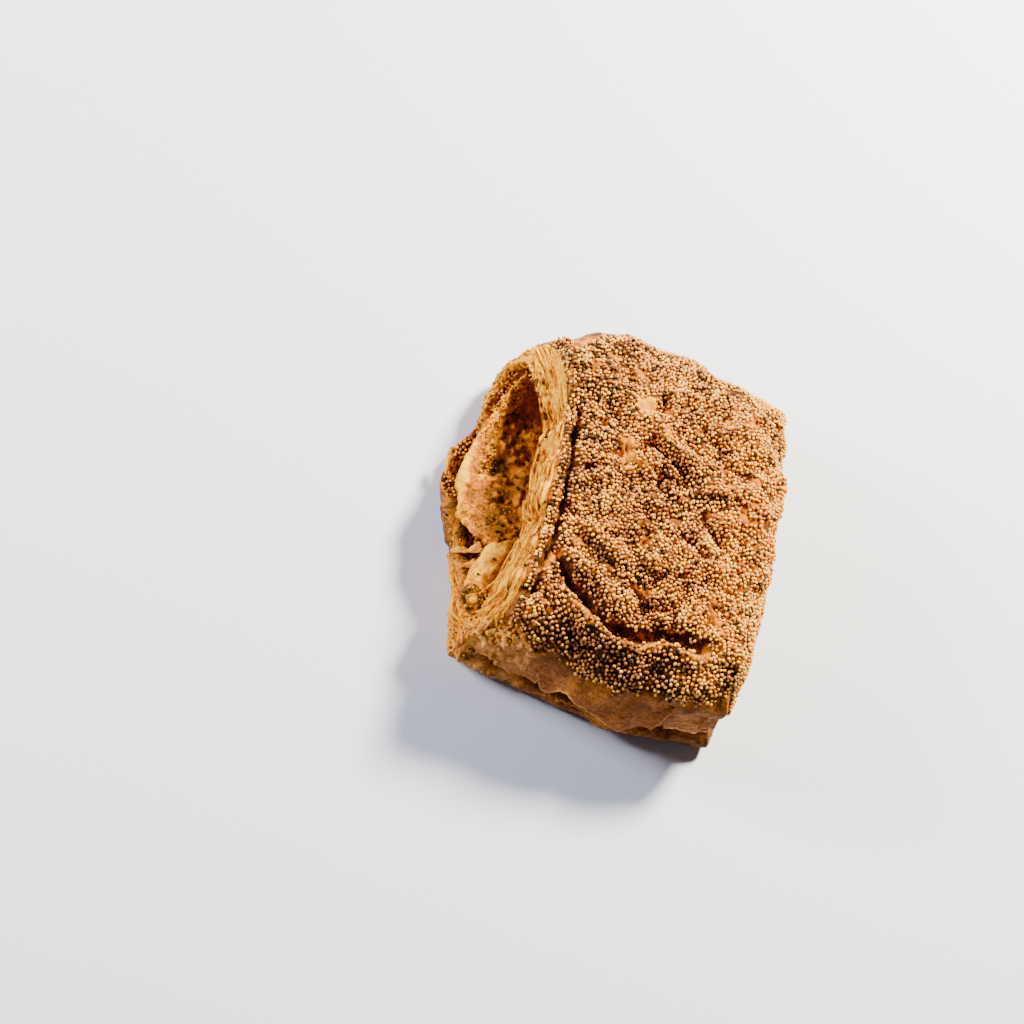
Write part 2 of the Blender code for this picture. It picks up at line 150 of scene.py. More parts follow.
# The inner flap: its free edge from the turned fold round to the back, and where it runs in under the rim
FLAP_EDGE = ((-0.0285, -0.0192, 0.0208), (-0.0340, -0.0190, 0.0198), (-0.0388, -0.0170, 0.0188),
             (-0.0425, -0.0128, 0.0182), (-0.0450, -0.0064, 0.0178), (-0.0456, 0.0010, 0.0175),
             (-0.0448, 0.0080, 0.0172), (-0.0434, 0.0155, 0.0170), (-0.0410, 0.0235, 0.0176),
             (-0.0380, 0.0305, 0.0190), (-0.0350, 0.0360, 0.0205))
FLAP_ROOT = ((-0.0225, -0.0205, 0.0200), (-0.0205, -0.0170, 0.0205), (-0.0195, -0.0140, 0.0205),
             (-0.0190, -0.0100, 0.0205), (-0.0185, -0.0050, 0.0195), (-0.0185, 0.0010, 0.0180),
             (-0.0190, 0.0070, 0.0160), (-0.0200, 0.0130, 0.0135), (-0.0215, 0.0200, 0.0115),
             (-0.0240, 0.0260, 0.0108), (-0.0265, 0.0320, 0.0112))
FLAP_HOLLOW = (-0.0014, -0.0012, -0.0004, 0.0008, 0.0018, 0.0024, 0.0026, 0.0022, 0.0018, 0.0012, 0.0006)
FLAP_THICKNESS = 0.0026
BURNT_HOLLOW = {"at": (-0.0362, 0.0062), "radius": 0.0030, "depth": 0.0017}
FLAP_PITS = ((-0.0303, 0.0232), (-0.0318, 0.0200), (-0.0366, 0.0213), (-0.0345, 0.0251), (-0.0364, 0.0237),
             (-0.0297, 0.0183), (-0.0280, 0.0107), (-0.0289, 0.0051), (-0.0278, 0.0017), (-0.0330, -0.0020))
FLAP_BLISTERS = ((-0.0338, 0.0172, 0.0009), (-0.0304, 0.0150, 0.0008), (-0.0351, 0.0262, 0.0007),
                 (-0.0349, 0.0290, 0.0009), (-0.0320, 0.0030, 0.0009), (-0.0345, -0.0050, 0.0010),
                 (-0.0300, -0.0040, 0.0008), (-0.0372, -0.0010, 0.0009))
FLAP_FOLD = (((-0.0303, -0.0085), (-0.0298, -0.0115), (-0.0270, -0.0140), (-0.0245, -0.0150)), 0.0010, 0.0012)

# Strands of dough: rows of (x, y, z, half width, half height), tilt in degrees, browning, and how much paler the
# left side, which faces the light, is painted: painted light
STRANDS = {
    "turned_fold": (((-0.0240, -0.0172, 0.0172, 0.0038, 0.0036), (-0.0278, -0.0215, 0.0182, 0.0046, 0.0040),
                     (-0.0300, -0.0265, 0.0178, 0.0047, 0.0041), (-0.0312, -0.0315, 0.0160, 0.0046, 0.0041),
                     (-0.0318, -0.0360, 0.0125, 0.0044, 0.0044)), 0.0, 0.44, 0.30),
    "web_strand": (((-0.0402, -0.0180, 0.0062, 0.0024, 0.0004), (-0.0386, -0.0196, 0.0098, 0.0013, 0.0003),
                    (-0.0366, -0.0204, 0.0130, 0.0009, 0.0003), (-0.0340, -0.0196, 0.0166, 0.0022, 0.0004)),
                   0.0, 0.34, 0.12),
    "short_strand": (((-0.0392, -0.0222, 0.0072, 0.0016, 0.0004), (-0.0368, -0.0240, 0.0100, 0.0008, 0.0003),
                      (-0.0340, -0.0236, 0.0134, 0.0016, 0.0004)), 0.0, 0.54, 0.20),
    "left_wall": (((-0.0462, -0.0010, 0.0046, 0.0022, 0.0009), (-0.0450, -0.0060, 0.0052, 0.0028, 0.0012),
                   (-0.0430, -0.0105, 0.0056, 0.0030, 0.0013), (-0.0408, -0.0150, 0.0062, 0.0030, 0.0014),
                   (-0.0380, -0.0205, 0.0070, 0.0026, 0.0015), (-0.0362, -0.0255, 0.0084, 0.0023, 0.0016),
                   (-0.0346, -0.0310, 0.0100, 0.0020, 0.0018)), -32.0, 0.84, 0.12),
    "ragged_edge": (((-0.0462, 0.0020, 0.0042, 0.0012, 0.0009), (-0.0484, 0.0052, 0.0056, 0.0011, 0.0007),
                     (-0.0490, 0.0085, 0.0072, 0.0009, 0.0006), (-0.0487, 0.0120, 0.0082, 0.0005, 0.0005)),
                    30.0, 0.50, 0.30)}
KNOB = {"at": (-0.0316, -0.0366, 0.0180), "facing": (-0.36, -0.42, 0.83), "radius": 0.0052}

# Loose crumbs: middle, half sizes in plan, count, and smallest and largest crumb
CRUMB_PATCHES = (((-0.0228, -0.0468), (0.0046, 0.0016), 48, 0.0014, 0.0027),
                 ((-0.0408, 0.0165), (0.0010, 0.0028), 90, 0.0004, 0.0012),
                 ((-0.0400, 0.0215), (0.0010, 0.0028), 110, 0.0004, 0.0013),
                 ((-0.0385, 0.0265), (0.0012, 0.0030), 120, 0.0004, 0.0013),
                 ((-0.0362, 0.0318), (0.0012, 0.0030), 100, 0.0004, 0.0012),
                 ((-0.0445, 0.0255), (0.0014, 0.0030), 70, 0.0004, 0.0012),
                 ((-0.0428, 0.0315), (0.0014, 0.0030), 80, 0.0004, 0.0012),
                 ((-0.0398, 0.0365), (0.0016, 0.0026), 80, 0.0004, 0.0011),
                 ((-0.0385, 0.0075), (0.0020, 0.0035), 110, 0.0004, 0.0010),
                 ((-0.0240, -0.0450), (0.0090, 0.0030), 90, 0.0006, 0.0018),
                 ((-0.0330, -0.0440), (0.0040, 0.0040), 60, 0.0005, 0.0014),
                 ((-0.0320, -0.0100), (0.0060, 0.0080), 50, 0.0003, 0.0006),
                 ((-0.0316, -0.0352), (0.0036, 0.0036), 50, 0.0003, 0.0007),
                 ((-0.0410, -0.0130), (0.0020, 0.0080), 60, 0.0003, 0.0009),
                 ((-0.0340, -0.0470), (0.0050, 0.0030), 70, 0.0004, 0.0012))

# How far apart the open end's layers lie in their noise, so that each has its own
LAYER_STEP = 0.0371
# Crumbly corner below the leaves, in plan
TOASTED_CORNER = {"at": (-0.0240, -0.0500), "radius": 0.0150}
# The crust's material slots, and how matt its crumbly corner is
OUTER_SKIN, POCKET_SKIN = 0, 1
DULL_CORNER = 0.60
# Colours of dry, floury dough by how far it is baked
MATTE_COLOURS = ((0.20, (0.66, 0.285, 0.100)), (0.42, (0.41, 0.145, 0.042)), (0.64, (0.205, 0.062, 0.014)),
                 (0.86, (0.095, 0.026, 0.005)), (1.0, (0.030, 0.010, 0.004)))
# Tint of all highlights
BUTTERY_SHINE = (1.0, 0.58, 0.10)
# Cells along each side of a noise's table of values
NOISE_CELLS = 24
# Start of each random draw, so that every run gives the same roll
DRAWS = {"places": 3, "kinds": 7, "crumbs": 17}
# Pieces that carry single seeds and crumbs
BEARERS = ("crust", "inner_flap", "turned_fold", "left_wall", "cut_leaves")
# Single seeds on the rim, the inner flap and the fold, by place in plan
STRAY_SEEDS = ((-0.0322, 0.0187), (-0.0308, 0.0219), (-0.0282, 0.0001), (-0.0341, -0.0139), (-0.0303, -0.0136),
               (-0.0310, -0.0157), (-0.0366, 0.0091), (-0.0292, 0.0149), (-0.0220, -0.0099), (-0.0224, -0.0293),
               (-0.0217, -0.0251), (-0.0247, -0.0350), (-0.0218, -0.0353), (-0.0255, 0.0125), (-0.0224, -0.0258),
               (-0.0300, -0.0250), (-0.0330, -0.0300), (-0.0290, -0.0320), (-0.0440, -0.0150), (-0.0452, -0.0090))

# The photo's view: the camera's place and turn in degrees and metres
VIEW = {"tilt": 26.0, "side": 62.0, "roll": -17.5, "distance": 0.600, "pixels_per_metre": 3500.0,
        "target": (0.00230, -0.00704, 0.0180), "target_pixel": (613.0, 540.0), "frame": 1024.0}
SENSOR_MM = 36.0
# Each light's direction along the camera's right, up and back, its diameter and its colour
LIGHTS = {"key": ((0.66, 0.72, 0.24), 0.20, (1.0, 0.95, 0.68)), "fill": ((-0.78, 0.52, 0.38), 0.30, (1.0, 1.0, 1.0))}
LIGHT_DISTANCE = 0.9


class RollForm(bpy.types.PropertyGroup):
    """Sizes of the baked roll."""

    height: FloatProperty(name="Height", description="Height of the top without its seeds", default=0.036,
                          unit="LENGTH")
    cells_x: IntProperty(name="Cells along X", description="Crust mesh cells along X", default=210, min=8)
    cells_y: IntProperty(name="Cells along Y", description="Crust mesh cells along Y", default=240, min=8)
    cells_z: IntProperty(name="Cells up the sides", description="Crust mesh cells along Z", default=58, min=8)
    layers: IntProperty(name="Layers", description="Leaves of dough that show round the open end", default=6)


class SeedSizes(bpy.types.PropertyGroup):
    """Sizes and spacing of the poppy seeds."""

    length: FloatProperty(name="Length", description="Length of a seed", default=0.00114, unit="LENGTH")
    gap: FloatProperty(name="Spacing", description="Least distance between two seeds' middles", default=0.00083,
                       unit="LENGTH")
    dark_share: FloatProperty(name="Dark share", description="Least share of dark seeds", default=0.045)


class RollColours(bpy.types.PropertyGroup):
    """Colours of crust and seeds."""

    pale: FloatVectorProperty(name="Pale crumb", description="Unbrowned dough at cut edges", subtype="COLOR",
                              default=(0.90, 0.435, 0.005), size=3)
    golden: FloatVectorProperty(name="Golden crust", description="Lightly baked dough", subtype="COLOR",
                                default=(0.54, 0.141, 0.001), size=3)
    brown: FloatVectorProperty(name="Brown crust", description="Well baked dough", subtype="COLOR",
                               default=(0.22, 0.060, 0.005), size=3)
    burnt: FloatVectorProperty(name="Burnt crust", description="Darkest spots", subtype="COLOR",
                               default=(0.036, 0.011, 0.004), size=3)


class Stage(bpy.types.PropertyGroup):
    """Floor and light."""

    floor_colour: FloatVectorProperty(name="Floor", description="Colour of the floor", subtype="COLOR",
                                      default=(0.72, 0.757, 0.965), size=3)
    key_power: FloatProperty(name="Key light", description="Power of the key light in watts", default=50.0)
    sky: FloatProperty(name="Sky light", description="Strength of the even light from all round", default=0.07)
    fill_power: FloatProperty(name="Fill light", description="Power of the fill light in watts", default=17.0)


# Shape of the dough

def smooth_step(value, low, high):
    """0 below low, 1 above high and a smooth rise between."""
    share = np.clip((value - low) / (high - low), 0.0, 1.0)
    return share * share * (3.0 - 2.0 * share)


def smooth_fall(value, low, high):
    """1 below low, 0 above high and a smooth fall between."""
    return 1.0 - smooth_step(value, low, high)


def flat_points(x, y):
    """Points with these plan coordinates and no height."""
    return np.column_stack([x, y, 0.0 * x])


def smooth_table(at, knots, values):
    """Catmull-Rom curve through the values at evenly or unevenly spaced knots."""
    knots, values = np.asarray(knots, float), np.asarray(values, float)
    slopes = np.gradient(values, knots)
    index = np.clip(np.searchsorted(knots, at) - 1, 0, len(knots) - 2)
    span = knots[index + 1] - knots[index]
    t = np.clip((at - knots[index]) / span, 0.0, 1.0)
    start, end = values[index], values[index + 1]
    rise_start, rise_end = slopes[index] * span, slopes[index + 1] * span
    return ((2 * t ** 3 - 3 * t ** 2 + 1) * start + (t ** 3 - 2 * t ** 2 + t) * rise_start
            + (3 * t ** 2 - 2 * t ** 3) * end + (t ** 3 - t ** 2) * rise_end)


def smooth_path(share, places):
    """Point of a smooth curve through the places, for shares from 0 to 1."""
    knots = np.linspace(0.0, 1.0, len(places))
    return np.column_stack([smooth_table(share, knots, column) for column in np.array(places).T])


def noise(points, size, seed):
    """Smooth random values from about -1 to 1 that change over the given size."""
    table = np.random.default_rng(seed).uniform(-1.0, 1.0, (NOISE_CELLS, NOISE_CELLS, NOISE_CELLS))
    scaled = points / size
    cell = np.floor(scaled).astype(int)
    part = scaled - cell
    part = part * part * (3.0 - 2.0 * part)
    total = np.zeros(len(points))
    for corner in itertools.product((0, 1), repeat=3):
        share = np.prod(np.where(corner, part, 1.0 - part), axis=1)
        index = (cell + corner) % NOISE_CELLS
        total += share * table[index[:, 0], index[:, 1], index[:, 2]]
    return total


def rough_noise(points, size, seed, octaves=3):
    """Noise with finer and fainter noise added."""
    return sum(0.55 ** k * noise(points, size * 0.5 ** k, seed + k) for k in range(octaves))


def line_distance(x, y, line):
    """Signed distance from a drawn line, positive on its left, and the share of its length at the nearest place."""
    line = np.array(line)
    lengths = np.linalg.norm(np.diff(line, axis=0), axis=1)
    starts = np.concatenate([[0.0], np.cumsum(lengths)])
    best, side, along = np.full(x.shape, np.inf), np.ones(x.shape), np.zeros(x.shape)
    for first, last, length, start in zip(line[:-1], line[1:], lengths, starts):
        way = (last - first) / length
        t = np.clip((x - first[0]) * way[0] + (y - first[1]) * way[1], 0.0, length)
        off_x, off_y = x - first[0] - t * way[0], y - first[1] - t * way[1]
        away = np.hypot(off_x, off_y)
        nearer = away < best
        best = np.where(nearer, away, best)
        side = np.where(nearer, np.where(way[0] * off_y - way[1] * off_x < 0.0, -1.0, 1.0), side)
        along = np.where(nearer, (start + t) / starts[-1], along)
    return best * side, along


def faded(along, share):
    """1 along a line's middle, falling to 0 at its two ends over this share of its length."""
    return smooth_step(np.minimum(along, 1.0 - along), 0.0, share)


def corner_blend(corners, u, v):
    """Bilinear blend over the square of values given at its corners, one row for each point."""
    left, right = (1.0 - u) / 2.0, (1.0 + u) / 2.0
    front, back = (1.0 - v) / 2.0, (1.0 + v) / 2.0
    shares = {"front_left": left * front, "front_right": right * front,
              "back_left": left * back, "back_right": right * back}
    return sum(np.outer(share, corners[name]) for name, share in shares.items())


def rounded_plan(corners, rounding, u, v):
    """Plan position of the square's point (u, v) in a quadrilateral with rounded corners."""
    soft = corner_blend(rounding, u, v)[:, 0]
    round_u = u * np.sqrt(1.0 - soft * v * v / 2.0)
    round_v = v * np.sqrt(1.0 - soft * u * u / 2.0)
    return corner_blend(corners, round_u, round_v)


def top_plan(u, v):
    """Outline of the top sheet. Its cut edge at the open end is drawn in at the middle."""
    plan = rounded_plan(TOP_CORNERS, TOP_ROUNDING, u, v)
    plan[:, 0] += TOP_EDGE_PULL * (1.0 - v * v) * ((1.0 - u) / 2.0) ** 2
    return plan


def skirt_plan(u, v):
    """Outline of the folds and flaps. The flaps stand out at the middle of the open end."""
    plan = rounded_plan(SKIRT_CORNERS, SKIRT_ROUNDING, u, v)
    reach = np.exp(-((v - FLAP_REACH["middle"]) / FLAP_REACH["half_width"]) ** 2)
    plan[:, 0] -= FLAP_REACH["length"] * reach * ((1.0 - u) / 2.0) ** 2
    return plan


def nearness(u, v):
    """How near each point of the square is to each side, from 0 at the far side to 1."""
    return {"front": (1.0 - v) / 2.0, "back": (1.0 + v) / 2.0, "open": (1.0 - u) / 2.0, "tight": (1.0 + u) / 2.0}


def side_profile(u, v, w):
    """Share of the way out to the skirt, and share of the height, for w from 0 at the base to 1 at the top."""
    profiles = {"front": FRONT_FOLD, "back": BACK_FOLD, "open": OPEN_END, "tight": TIGHT_END}
    out, up, total = 0.0, 0.0, 0.0
    for side, near in nearness(u, v).items():
        shares = np.array(profiles[side])
        steps = np.linspace(0.0, 1.0, len(shares))
        weight = near ** SIDE_SHARPNESS
        out = out + weight * smooth_table(w, steps, shares[:, 0])
        up = up + weight * smooth_table(w, steps, shares[:, 1])
        total = total + weight
    return out / total, up / total


def lumps(x, y, z):
    """Irregular swelling: waves in many directions at each size."""
    draw = np.random.default_rng(LUMP_SEED)
    swell = np.zeros_like(x)
    for length, height in LUMP_SIZES:
        for _ in range(LUMP_WAVES):
            way = draw.normal(size=3)
            way /= np.linalg.norm(way)
            wave_number = 2.0 * math.pi / (length * draw.uniform(0.7, 1.4))
            shift = draw.uniform(0.0, 2.0 * math.pi)
            swell += height * np.cos(wave_number * (way[0] * x + way[1] * y + way[2] * z) + shift)
    return swell * math.sqrt(2.0 / LUMP_WAVES)


def crease_place(x, y):
    """How strong the front crease is at a point, from 0 to 1, and the place across it in half widths."""
    wander = 0.0007 * noise(flat_points(x, y), 0.0035, 31)
    across, along = line_distance(x, y + wander, CREASE["line"])
    width = CREASE["half_width"] * (0.55 + 0.45 * smooth_step(along, 0.05, 0.35))
    return faded(along, 0.12), across / width


def groove_share(x, y, edge_x):
    """How deep in the groove along the cut edge a point is, from 0 to 1."""
    wander = 0.0009 * rough_noise(flat_points(x, y), 0.0060, 32)
    groove = np.exp(-((x + wander - edge_x - RIM_GROOVE["inset"]) / RIM_GROOVE["half_width"]) ** 2)
    inside = (smooth_step(y, RIM_GROOVE["from_y"], RIM_GROOVE["from_y"] + 0.008)
              * smooth_fall(y, RIM_GROOVE["to_y"] - 0.010, RIM_GROOVE["to_y"]))
    return groove * inside


def wrinkles(x, y):
    """Rounded mounds with sharper furrows between them, drawn out along the roll's diagonal."""
    turn = math.radians(WRINKLE_TURN)
    along = x * math.cos(turn) + y * math.sin(turn)
    across = y * math.cos(turn) - x * math.sin(turn)
    bend = flat_points(x, y)
    across = across + 0.0016 * noise(bend, 0.0090, 21)
    big = np.abs(noise(flat_points(along / 1.7, across), 0.0052, 22))
    small = np.abs(noise(np.column_stack([along / 1.4, across, 0 * x + 0.05]), 0.0027, 23))
    return 0.0026 * (np.sqrt(big) - 0.6) + 0.0010 * (np.sqrt(small) - 0.6)


def valleys(x, y):
    """Depth of the furrows at a point, with their raised lips negative."""
    depth = np.zeros_like(x)
    wander = 0.0006 * rough_noise(flat_points(x, y), 0.0030, 26)
    for line, half_width, deep in VALLEYS:
        across, along = line_distance(x + wander, y - wander, line)
        across = across / half_width
        depth += deep * faded(along, 0.22) * (1.3 * np.exp(-across ** 2) - 0.35 * np.exp(-(np.abs(across) - 2.0) ** 2))
    return depth


def bare_patches(x, y):
    """Cover of each bare patch at a point, from 0 to 1, one row for each patch."""
    wander = 0.35 * rough_noise(flat_points(x, y), 0.0020, 36)
    covers = []
    for at_x, at_y, half_length, half_width, turn, _, _ in BARE_PATCHES:
        cosine, sine = math.cos(math.radians(turn)), math.sin(math.radians(turn))
        along = ((x - at_x) * cosine + (y - at_y) * sine) / half_length
        across = ((y - at_y) * cosine - (x - at_x) * sine) / half_width
        covers.append(smooth_fall(np.hypot(along, across) + wander, 0.75, 1.15))
    return np.array(covers)


def fan_ribs(x, y):
    """Ribs of the thin lifted skin on the top, spreading from its low end."""
    at_x, at_y = BARE_PATCHES[2][:2]
    cover = bare_patches(x, y)[2]
    angle = np.arctan2(y - (at_y - 0.0070), x - (at_x + 0.0012))
    return cover * (0.0005 + 0.00022 * np.cos(26.0 * angle) + 0.0007 * smooth_step(x, at_x, at_x + 0.0022))


def top_relief(x, y, edge_x):
    """Height added to the top at (x, y), whose cut edge is at edge_x."""
    strength, across = crease_place(x, y)
    ridge = CREASE["ridge"] * np.exp(-((across + 1.9) / 0.8) ** 2)
    relief = CREASE["depth"] * strength * (ridge - np.exp(-np.abs(across) ** 2.4))
    relief -= RIM_GROOVE["depth"] * groove_share(x, y, edge_x)
    for at_x, at_y, radius, depth in HOLLOWS:
        relief -= depth * np.exp(-((x - at_x) ** 2 + (y - at_y) ** 2) / radius ** 2)
    return relief


def side_relief(x, y, z):
    """Swelling outwards of the sides at a point."""
    swell = np.zeros_like(x)
    for (at_x, at_y, at_z), radius, height in SIDE_LUMPS:
        away = (x - at_x) ** 2 + (y - at_y) ** 2 + (z - at_z) ** 2
        swell += height * np.exp(-away / radius ** 2)
    return swell


def toasted_corner(x, y, z):
    """Share of the crumbly toasted corner below the leaves, from 0 to 1."""
    away = np.hypot(x - TOASTED_CORNER["at"][0], y - TOASTED_CORNER["at"][1]) / TOASTED_CORNER["radius"]
    return smooth_fall(away, 0.55, 1.0) * smooth_fall(z, 0.024, 0.030)


def front_layers(u, v, here):
    """Long thin steps of the dough's layers on the front fold and low on the other sides, below the seeds."""
    stretched = here * (0.16, 0.16, 1.0)
    steps = 0.00036 * noise(stretched, 0.0011, 66) + 0.00030 * noise(here * (0.35, 0.35, 1.0), 0.0017, 67)
    front = smooth_step(-v, 0.90, 0.99) * smooth_fall(here[:, 2], 0.018, 0.024)
    others = np.maximum(smooth_step(v, 0.90, 0.99), smooth_step(u, 0.90, 0.99)) * smooth_fall(here[:, 2], 0.007, 0.012)
    return steps * np.maximum(front, others)


def leaf_reach(angle):
    """How far the leaves reach from the mouth's middle at an angle, on the open end's square."""
    across, up = np.cos(angle), np.sin(angle)
    wide = 1.0 - MOUTH_MIDDLE[0] * np.sign(across)
    high = 1.0 - MOUTH_MIDDLE[1] * np.sign(up)
    power = np.where((across > 0.0) & (up > 0.0), LEAF_CORNERS["back"], LEAF_CORNERS["elsewhere"])
    return (np.abs(across / wide) ** power + np.abs(up / high) ** power) ** (-1.0 / power)


def roll_surface(points, height, fine=1.0):
    """Where each point of the cube from -1 to 1 lies on the uncut roll, before it is centred."""
    u, v = points[:, 0], points[:, 1]
    on_bottom = points[:, 2] < -1.0 + 1e-6
    on_top = points[:, 2] > 1.0 - 1e-6
    on_open_end = smooth_step(-u, 0.96, 1.0) * np.where(on_top, 0.0, 1.0)
    out, up = side_profile(u, v, (points[:, 2] + 1.0) / 2.0)
    top, skirt = top_plan(u, v), skirt_plan(u, v)
    plan = top + (skirt - top) * out[:, None]
    fall = sum(TOP_FALL[side] * near ** FALL_SHARPNESS for side, near in nearness(u, v).items())
    z = (height - fall) * up
    x, y = plan.T
    swell = lumps(x, y, z)
    edge_x = top_plan(-np.ones_like(v), v)[:, 0]
    here = np.column_stack([x, y, z])
    grain = fine * (0.00035 * rough_noise(here, 0.0042, 51) + 0.00022 * rough_noise(here, 0.0016, 61))
    grain *= 1.0 - 0.7 * on_open_end
    crumbs = 0.0017 * np.abs(noise(here, 0.0023, 64)) + 0.0009 * np.abs(noise(here, 0.0012, 65)) - 0.0005
    grain += fine * toasted_corner(x, y, z) * crumbs
    upper = smooth_step(up, 0.80, 1.0)
    folded = fine * (wrinkles(x, y) - valleys(x, y) + fan_ribs(x, y)) * smooth_step(x - edge_x, 0.0005, 0.0050)
    folded *= (1.0 - 0.65 * smooth_step(u, 0.80, 1.0)) * (1.0 - 0.65 * smooth_step(v, 0.84, 1.0))
    grain += fine * front_layers(u, v, here)
    z = z + upper * (top_relief(x, y, edge_x) + swell + grain + folded * (1.0 - 0.6 * smooth_step(-y, 0.036, 0.042)))
    z = np.where(on_bottom, 0.0, z)
    outward = plan / (np.linalg.norm(plan, axis=1)[:, None] + 1e-9)
    on_side = np.where(on_top | on_bottom, 0.0, smooth_step(up, 0.0, 0.15))
    plan = plan + outward * ((swell + grain + side_relief(x, y, z)) * on_side)[:, None]
    return np.column_stack([plan, z])


def flap_toasting(along, across):
    """Share of the granular toasted strip inside the flap's upper edge, from 0 to 1."""
    band = smooth_step(along, 0.44, 0.54) * smooth_step(across, 0.14, 0.20) * smooth_fall(across, 0.26, 0.34)
    wall = smooth_step(along, 0.68, 0.76) * smooth_step(across, 0.03, 0.07) * smooth_fall(across, 0.22, 0.34)
    return np.maximum(band, wall)


def flap_pits(x, y):
    """Small dark pits of the flap at a point, from 0 to 1."""
    return sum(np.exp(-((x - at_x) ** 2 + (y - at_y) ** 2) / 0.00055 ** 2) for at_x, at_y in FLAP_PITS)


def flap_surface(points):
    """The inner flap as a bent slab: along its free edge, across to its root under the rim, and through it."""
    along, across, through = (points[:, 0] + 1.0) / 2.0, (points[:, 1] + 1.0) / 2.0, (1.0 - points[:, 2]) / 2.0
    edge, root = smooth_path(along, FLAP_EDGE), smooth_path(along, FLAP_ROOT)
    at = edge + (root - edge) * across[:, None]
    x, y = at[:, 0], at[:, 1]
    hollow = smooth_table(along, np.linspace(0.0, 1.0, len(FLAP_HOLLOW)), FLAP_HOLLOW)
    z = at[:, 2] - hollow * np.sin(math.pi * across ** 0.8) ** 1.2
    away = np.hypot(x - BURNT_HOLLOW["at"][0], y - BURNT_HOLLOW["at"][1]) / BURNT_HOLLOW["radius"]
    z -= BURNT_HOLLOW["depth"] * np.exp(-away ** 2)
    line, half_width, rise = FLAP_FOLD
    beside, place = line_distance(x, y, line)
    z += rise * faded(place, 0.3) * np.exp(-(beside / half_width) ** 2)
    z -= 0.0006 * flap_pits(x, y)
    for at_x, at_y, radius in FLAP_BLISTERS:
        z += 0.7 * radius * np.exp(-(((x - at_x) ** 2 + (y - at_y) ** 2) / radius ** 2) ** 2)
    here = np.column_stack([x, y, z])
    blisters = np.clip(noise(here, 0.0034, 72) - 0.10, 0.0, 1.0)
    blisters += 0.5 * np.clip(noise(here, 0.0016, 73) - 0.10, 0.0, 1.0)
    z += 0.00085 * rough_noise(here, 0.0045, 71) + 0.0020 * blisters * smooth_step(across, 0.10, 0.25)
    z += 0.0008 * flap_toasting(along, across) * (np.abs(noise(here, 0.0012, 74)) - 0.3)
    rim = 1.0 - np.clip(np.minimum(across / 0.09, along / 0.05), 0.0, 1.0)
    round_off = FLAP_THICKNESS / 2.0 * (1.0 - np.sqrt(np.clip(1.0 - rim ** 2, 0.0, 1.0)))
    thickness = FLAP_THICKNESS + 0.35 * np.linalg.norm(at - edge, axis=1)
    z = np.where(through < 0.5, z - round_off, z - thickness + round_off)
    z = np.where((through > 1e-6) & (through < 1.0 - 1e-6), at[:, 2] - FLAP_THICKNESS / 2.0, z)
    shake = 0.0006 * rim * rough_noise(here, 0.0030, 78)
    return np.column_stack([x + shake, y + shake, z])


# Mesh tools

def select_none():
    """Object mode, with nothing selected and no active object."""
    if bpy.context.object and bpy.context.object.mode != "OBJECT":
        bpy.ops.object.mode_set(mode="OBJECT")
    for obj in bpy.context.view_layer.objects:
        obj.select_set(False)
    bpy.context.view_layer.objects.active = None


def select_only(obj):
    """Object mode, with this object alone selected and active."""
    select_none()
    bpy.context.view_layer.objects.active = obj
    obj.select_set(True)


def read_all(items, name, width=1, kind=np.float32):
    """One named value of every item, in rows where it has several numbers."""
    values = np.empty(width * len(items), kind)
    items.foreach_get(name, values)
    return values.reshape(-1, width) if width > 1 else values


def coordinates(mesh):
    """The mesh's vertices as rows."""
    return read_all(mesh.vertices, "co", 3).astype(float)


def move_vertices(obj, positions):
    """Put the object's vertices at the rows of positions."""
    obj.data.vertices.foreach_set("co", np.asarray(positions, np.float32).ravel())
    obj.data.update()


def subdivision_passes(count):
    """Factors of count that are at most 100, because one subdivision makes no more cuts."""
    passes = []
    while count > 1:
        factor = max(number for number in range(1, 101) if count % number == 0)
        if factor == 1:
            raise ValueError(f"{count} cells have no factor up to 100")
        passes.append(factor)
        count //= factor
    return passes


def divided_box(name, cells):
    """A cube from -1 to 1 whose faces are cut into cells along each axis."""
    select_none()
    bpy.ops.mesh.primitive_cube_add(size=2.0)
    obj = bpy.context.object
    obj.name = name
    obj.data.name = name
    for axis, count in enumerate(cells):
        for factor in subdivision_passes(count):
            bpy.ops.object.mode_set(mode="EDIT")
            bpy.ops.mesh.select_mode(type="EDGE")
            bpy.ops.mesh.select_all(action="DESELECT")
            bpy.ops.object.mode_set(mode="OBJECT")
            at = coordinates(obj.data)
            ends = read_all(obj.data.edges, "vertices", 2, np.int32)
            along = np.abs(at[ends[:, 0], axis] - at[ends[:, 1], axis]) > 1e-6
            obj.data.edges.foreach_set("select", along)
            bpy.ops.object.mode_set(mode="EDIT")
            bpy.ops.mesh.subdivide(number_cuts=factor - 1)
    bpy.ops.object.mode_set(mode="OBJECT")
    return obj


def ball(name, segments, rings):
    """A unit sphere as a new object. Its faces are sorted, because Blender gives them in another order each run."""
    select_none()
    bpy.ops.mesh.primitive_uv_sphere_add(segments=segments, ring_count=rings, radius=1.0)
    obj = bpy.context.object
    obj.name = name
    obj.data.name = name
    points = coordinates(obj.data).tolist()
    faces = sorted(tuple(polygon.vertices) for polygon in obj.data.polygons)
    obj.data.clear_geometry()
    obj.data.from_pydata(points, [], faces)
    return obj


def apply_modifier(obj, kind, **settings):
    """Add a modifier with these settings and apply it."""
    select_only(obj)
    modifier = obj.modifiers.new(kind.lower(), kind)
    for name, value in settings.items():
        setattr(modifier, name, value)
    bpy.ops.object.modifier_apply(modifier=modifier.name)


def write_attributes(obj, **attributes):
    """Numbers for each vertex, which the materials read."""
    for name, values in attributes.items():
        attribute = obj.data.attributes.get(name) or obj.data.attributes.new(name, "FLOAT", "POINT")
        rows = np.broadcast_to(values, len(obj.data.vertices)).astype(np.float32)
        attribute.data.foreach_set("value", rows)


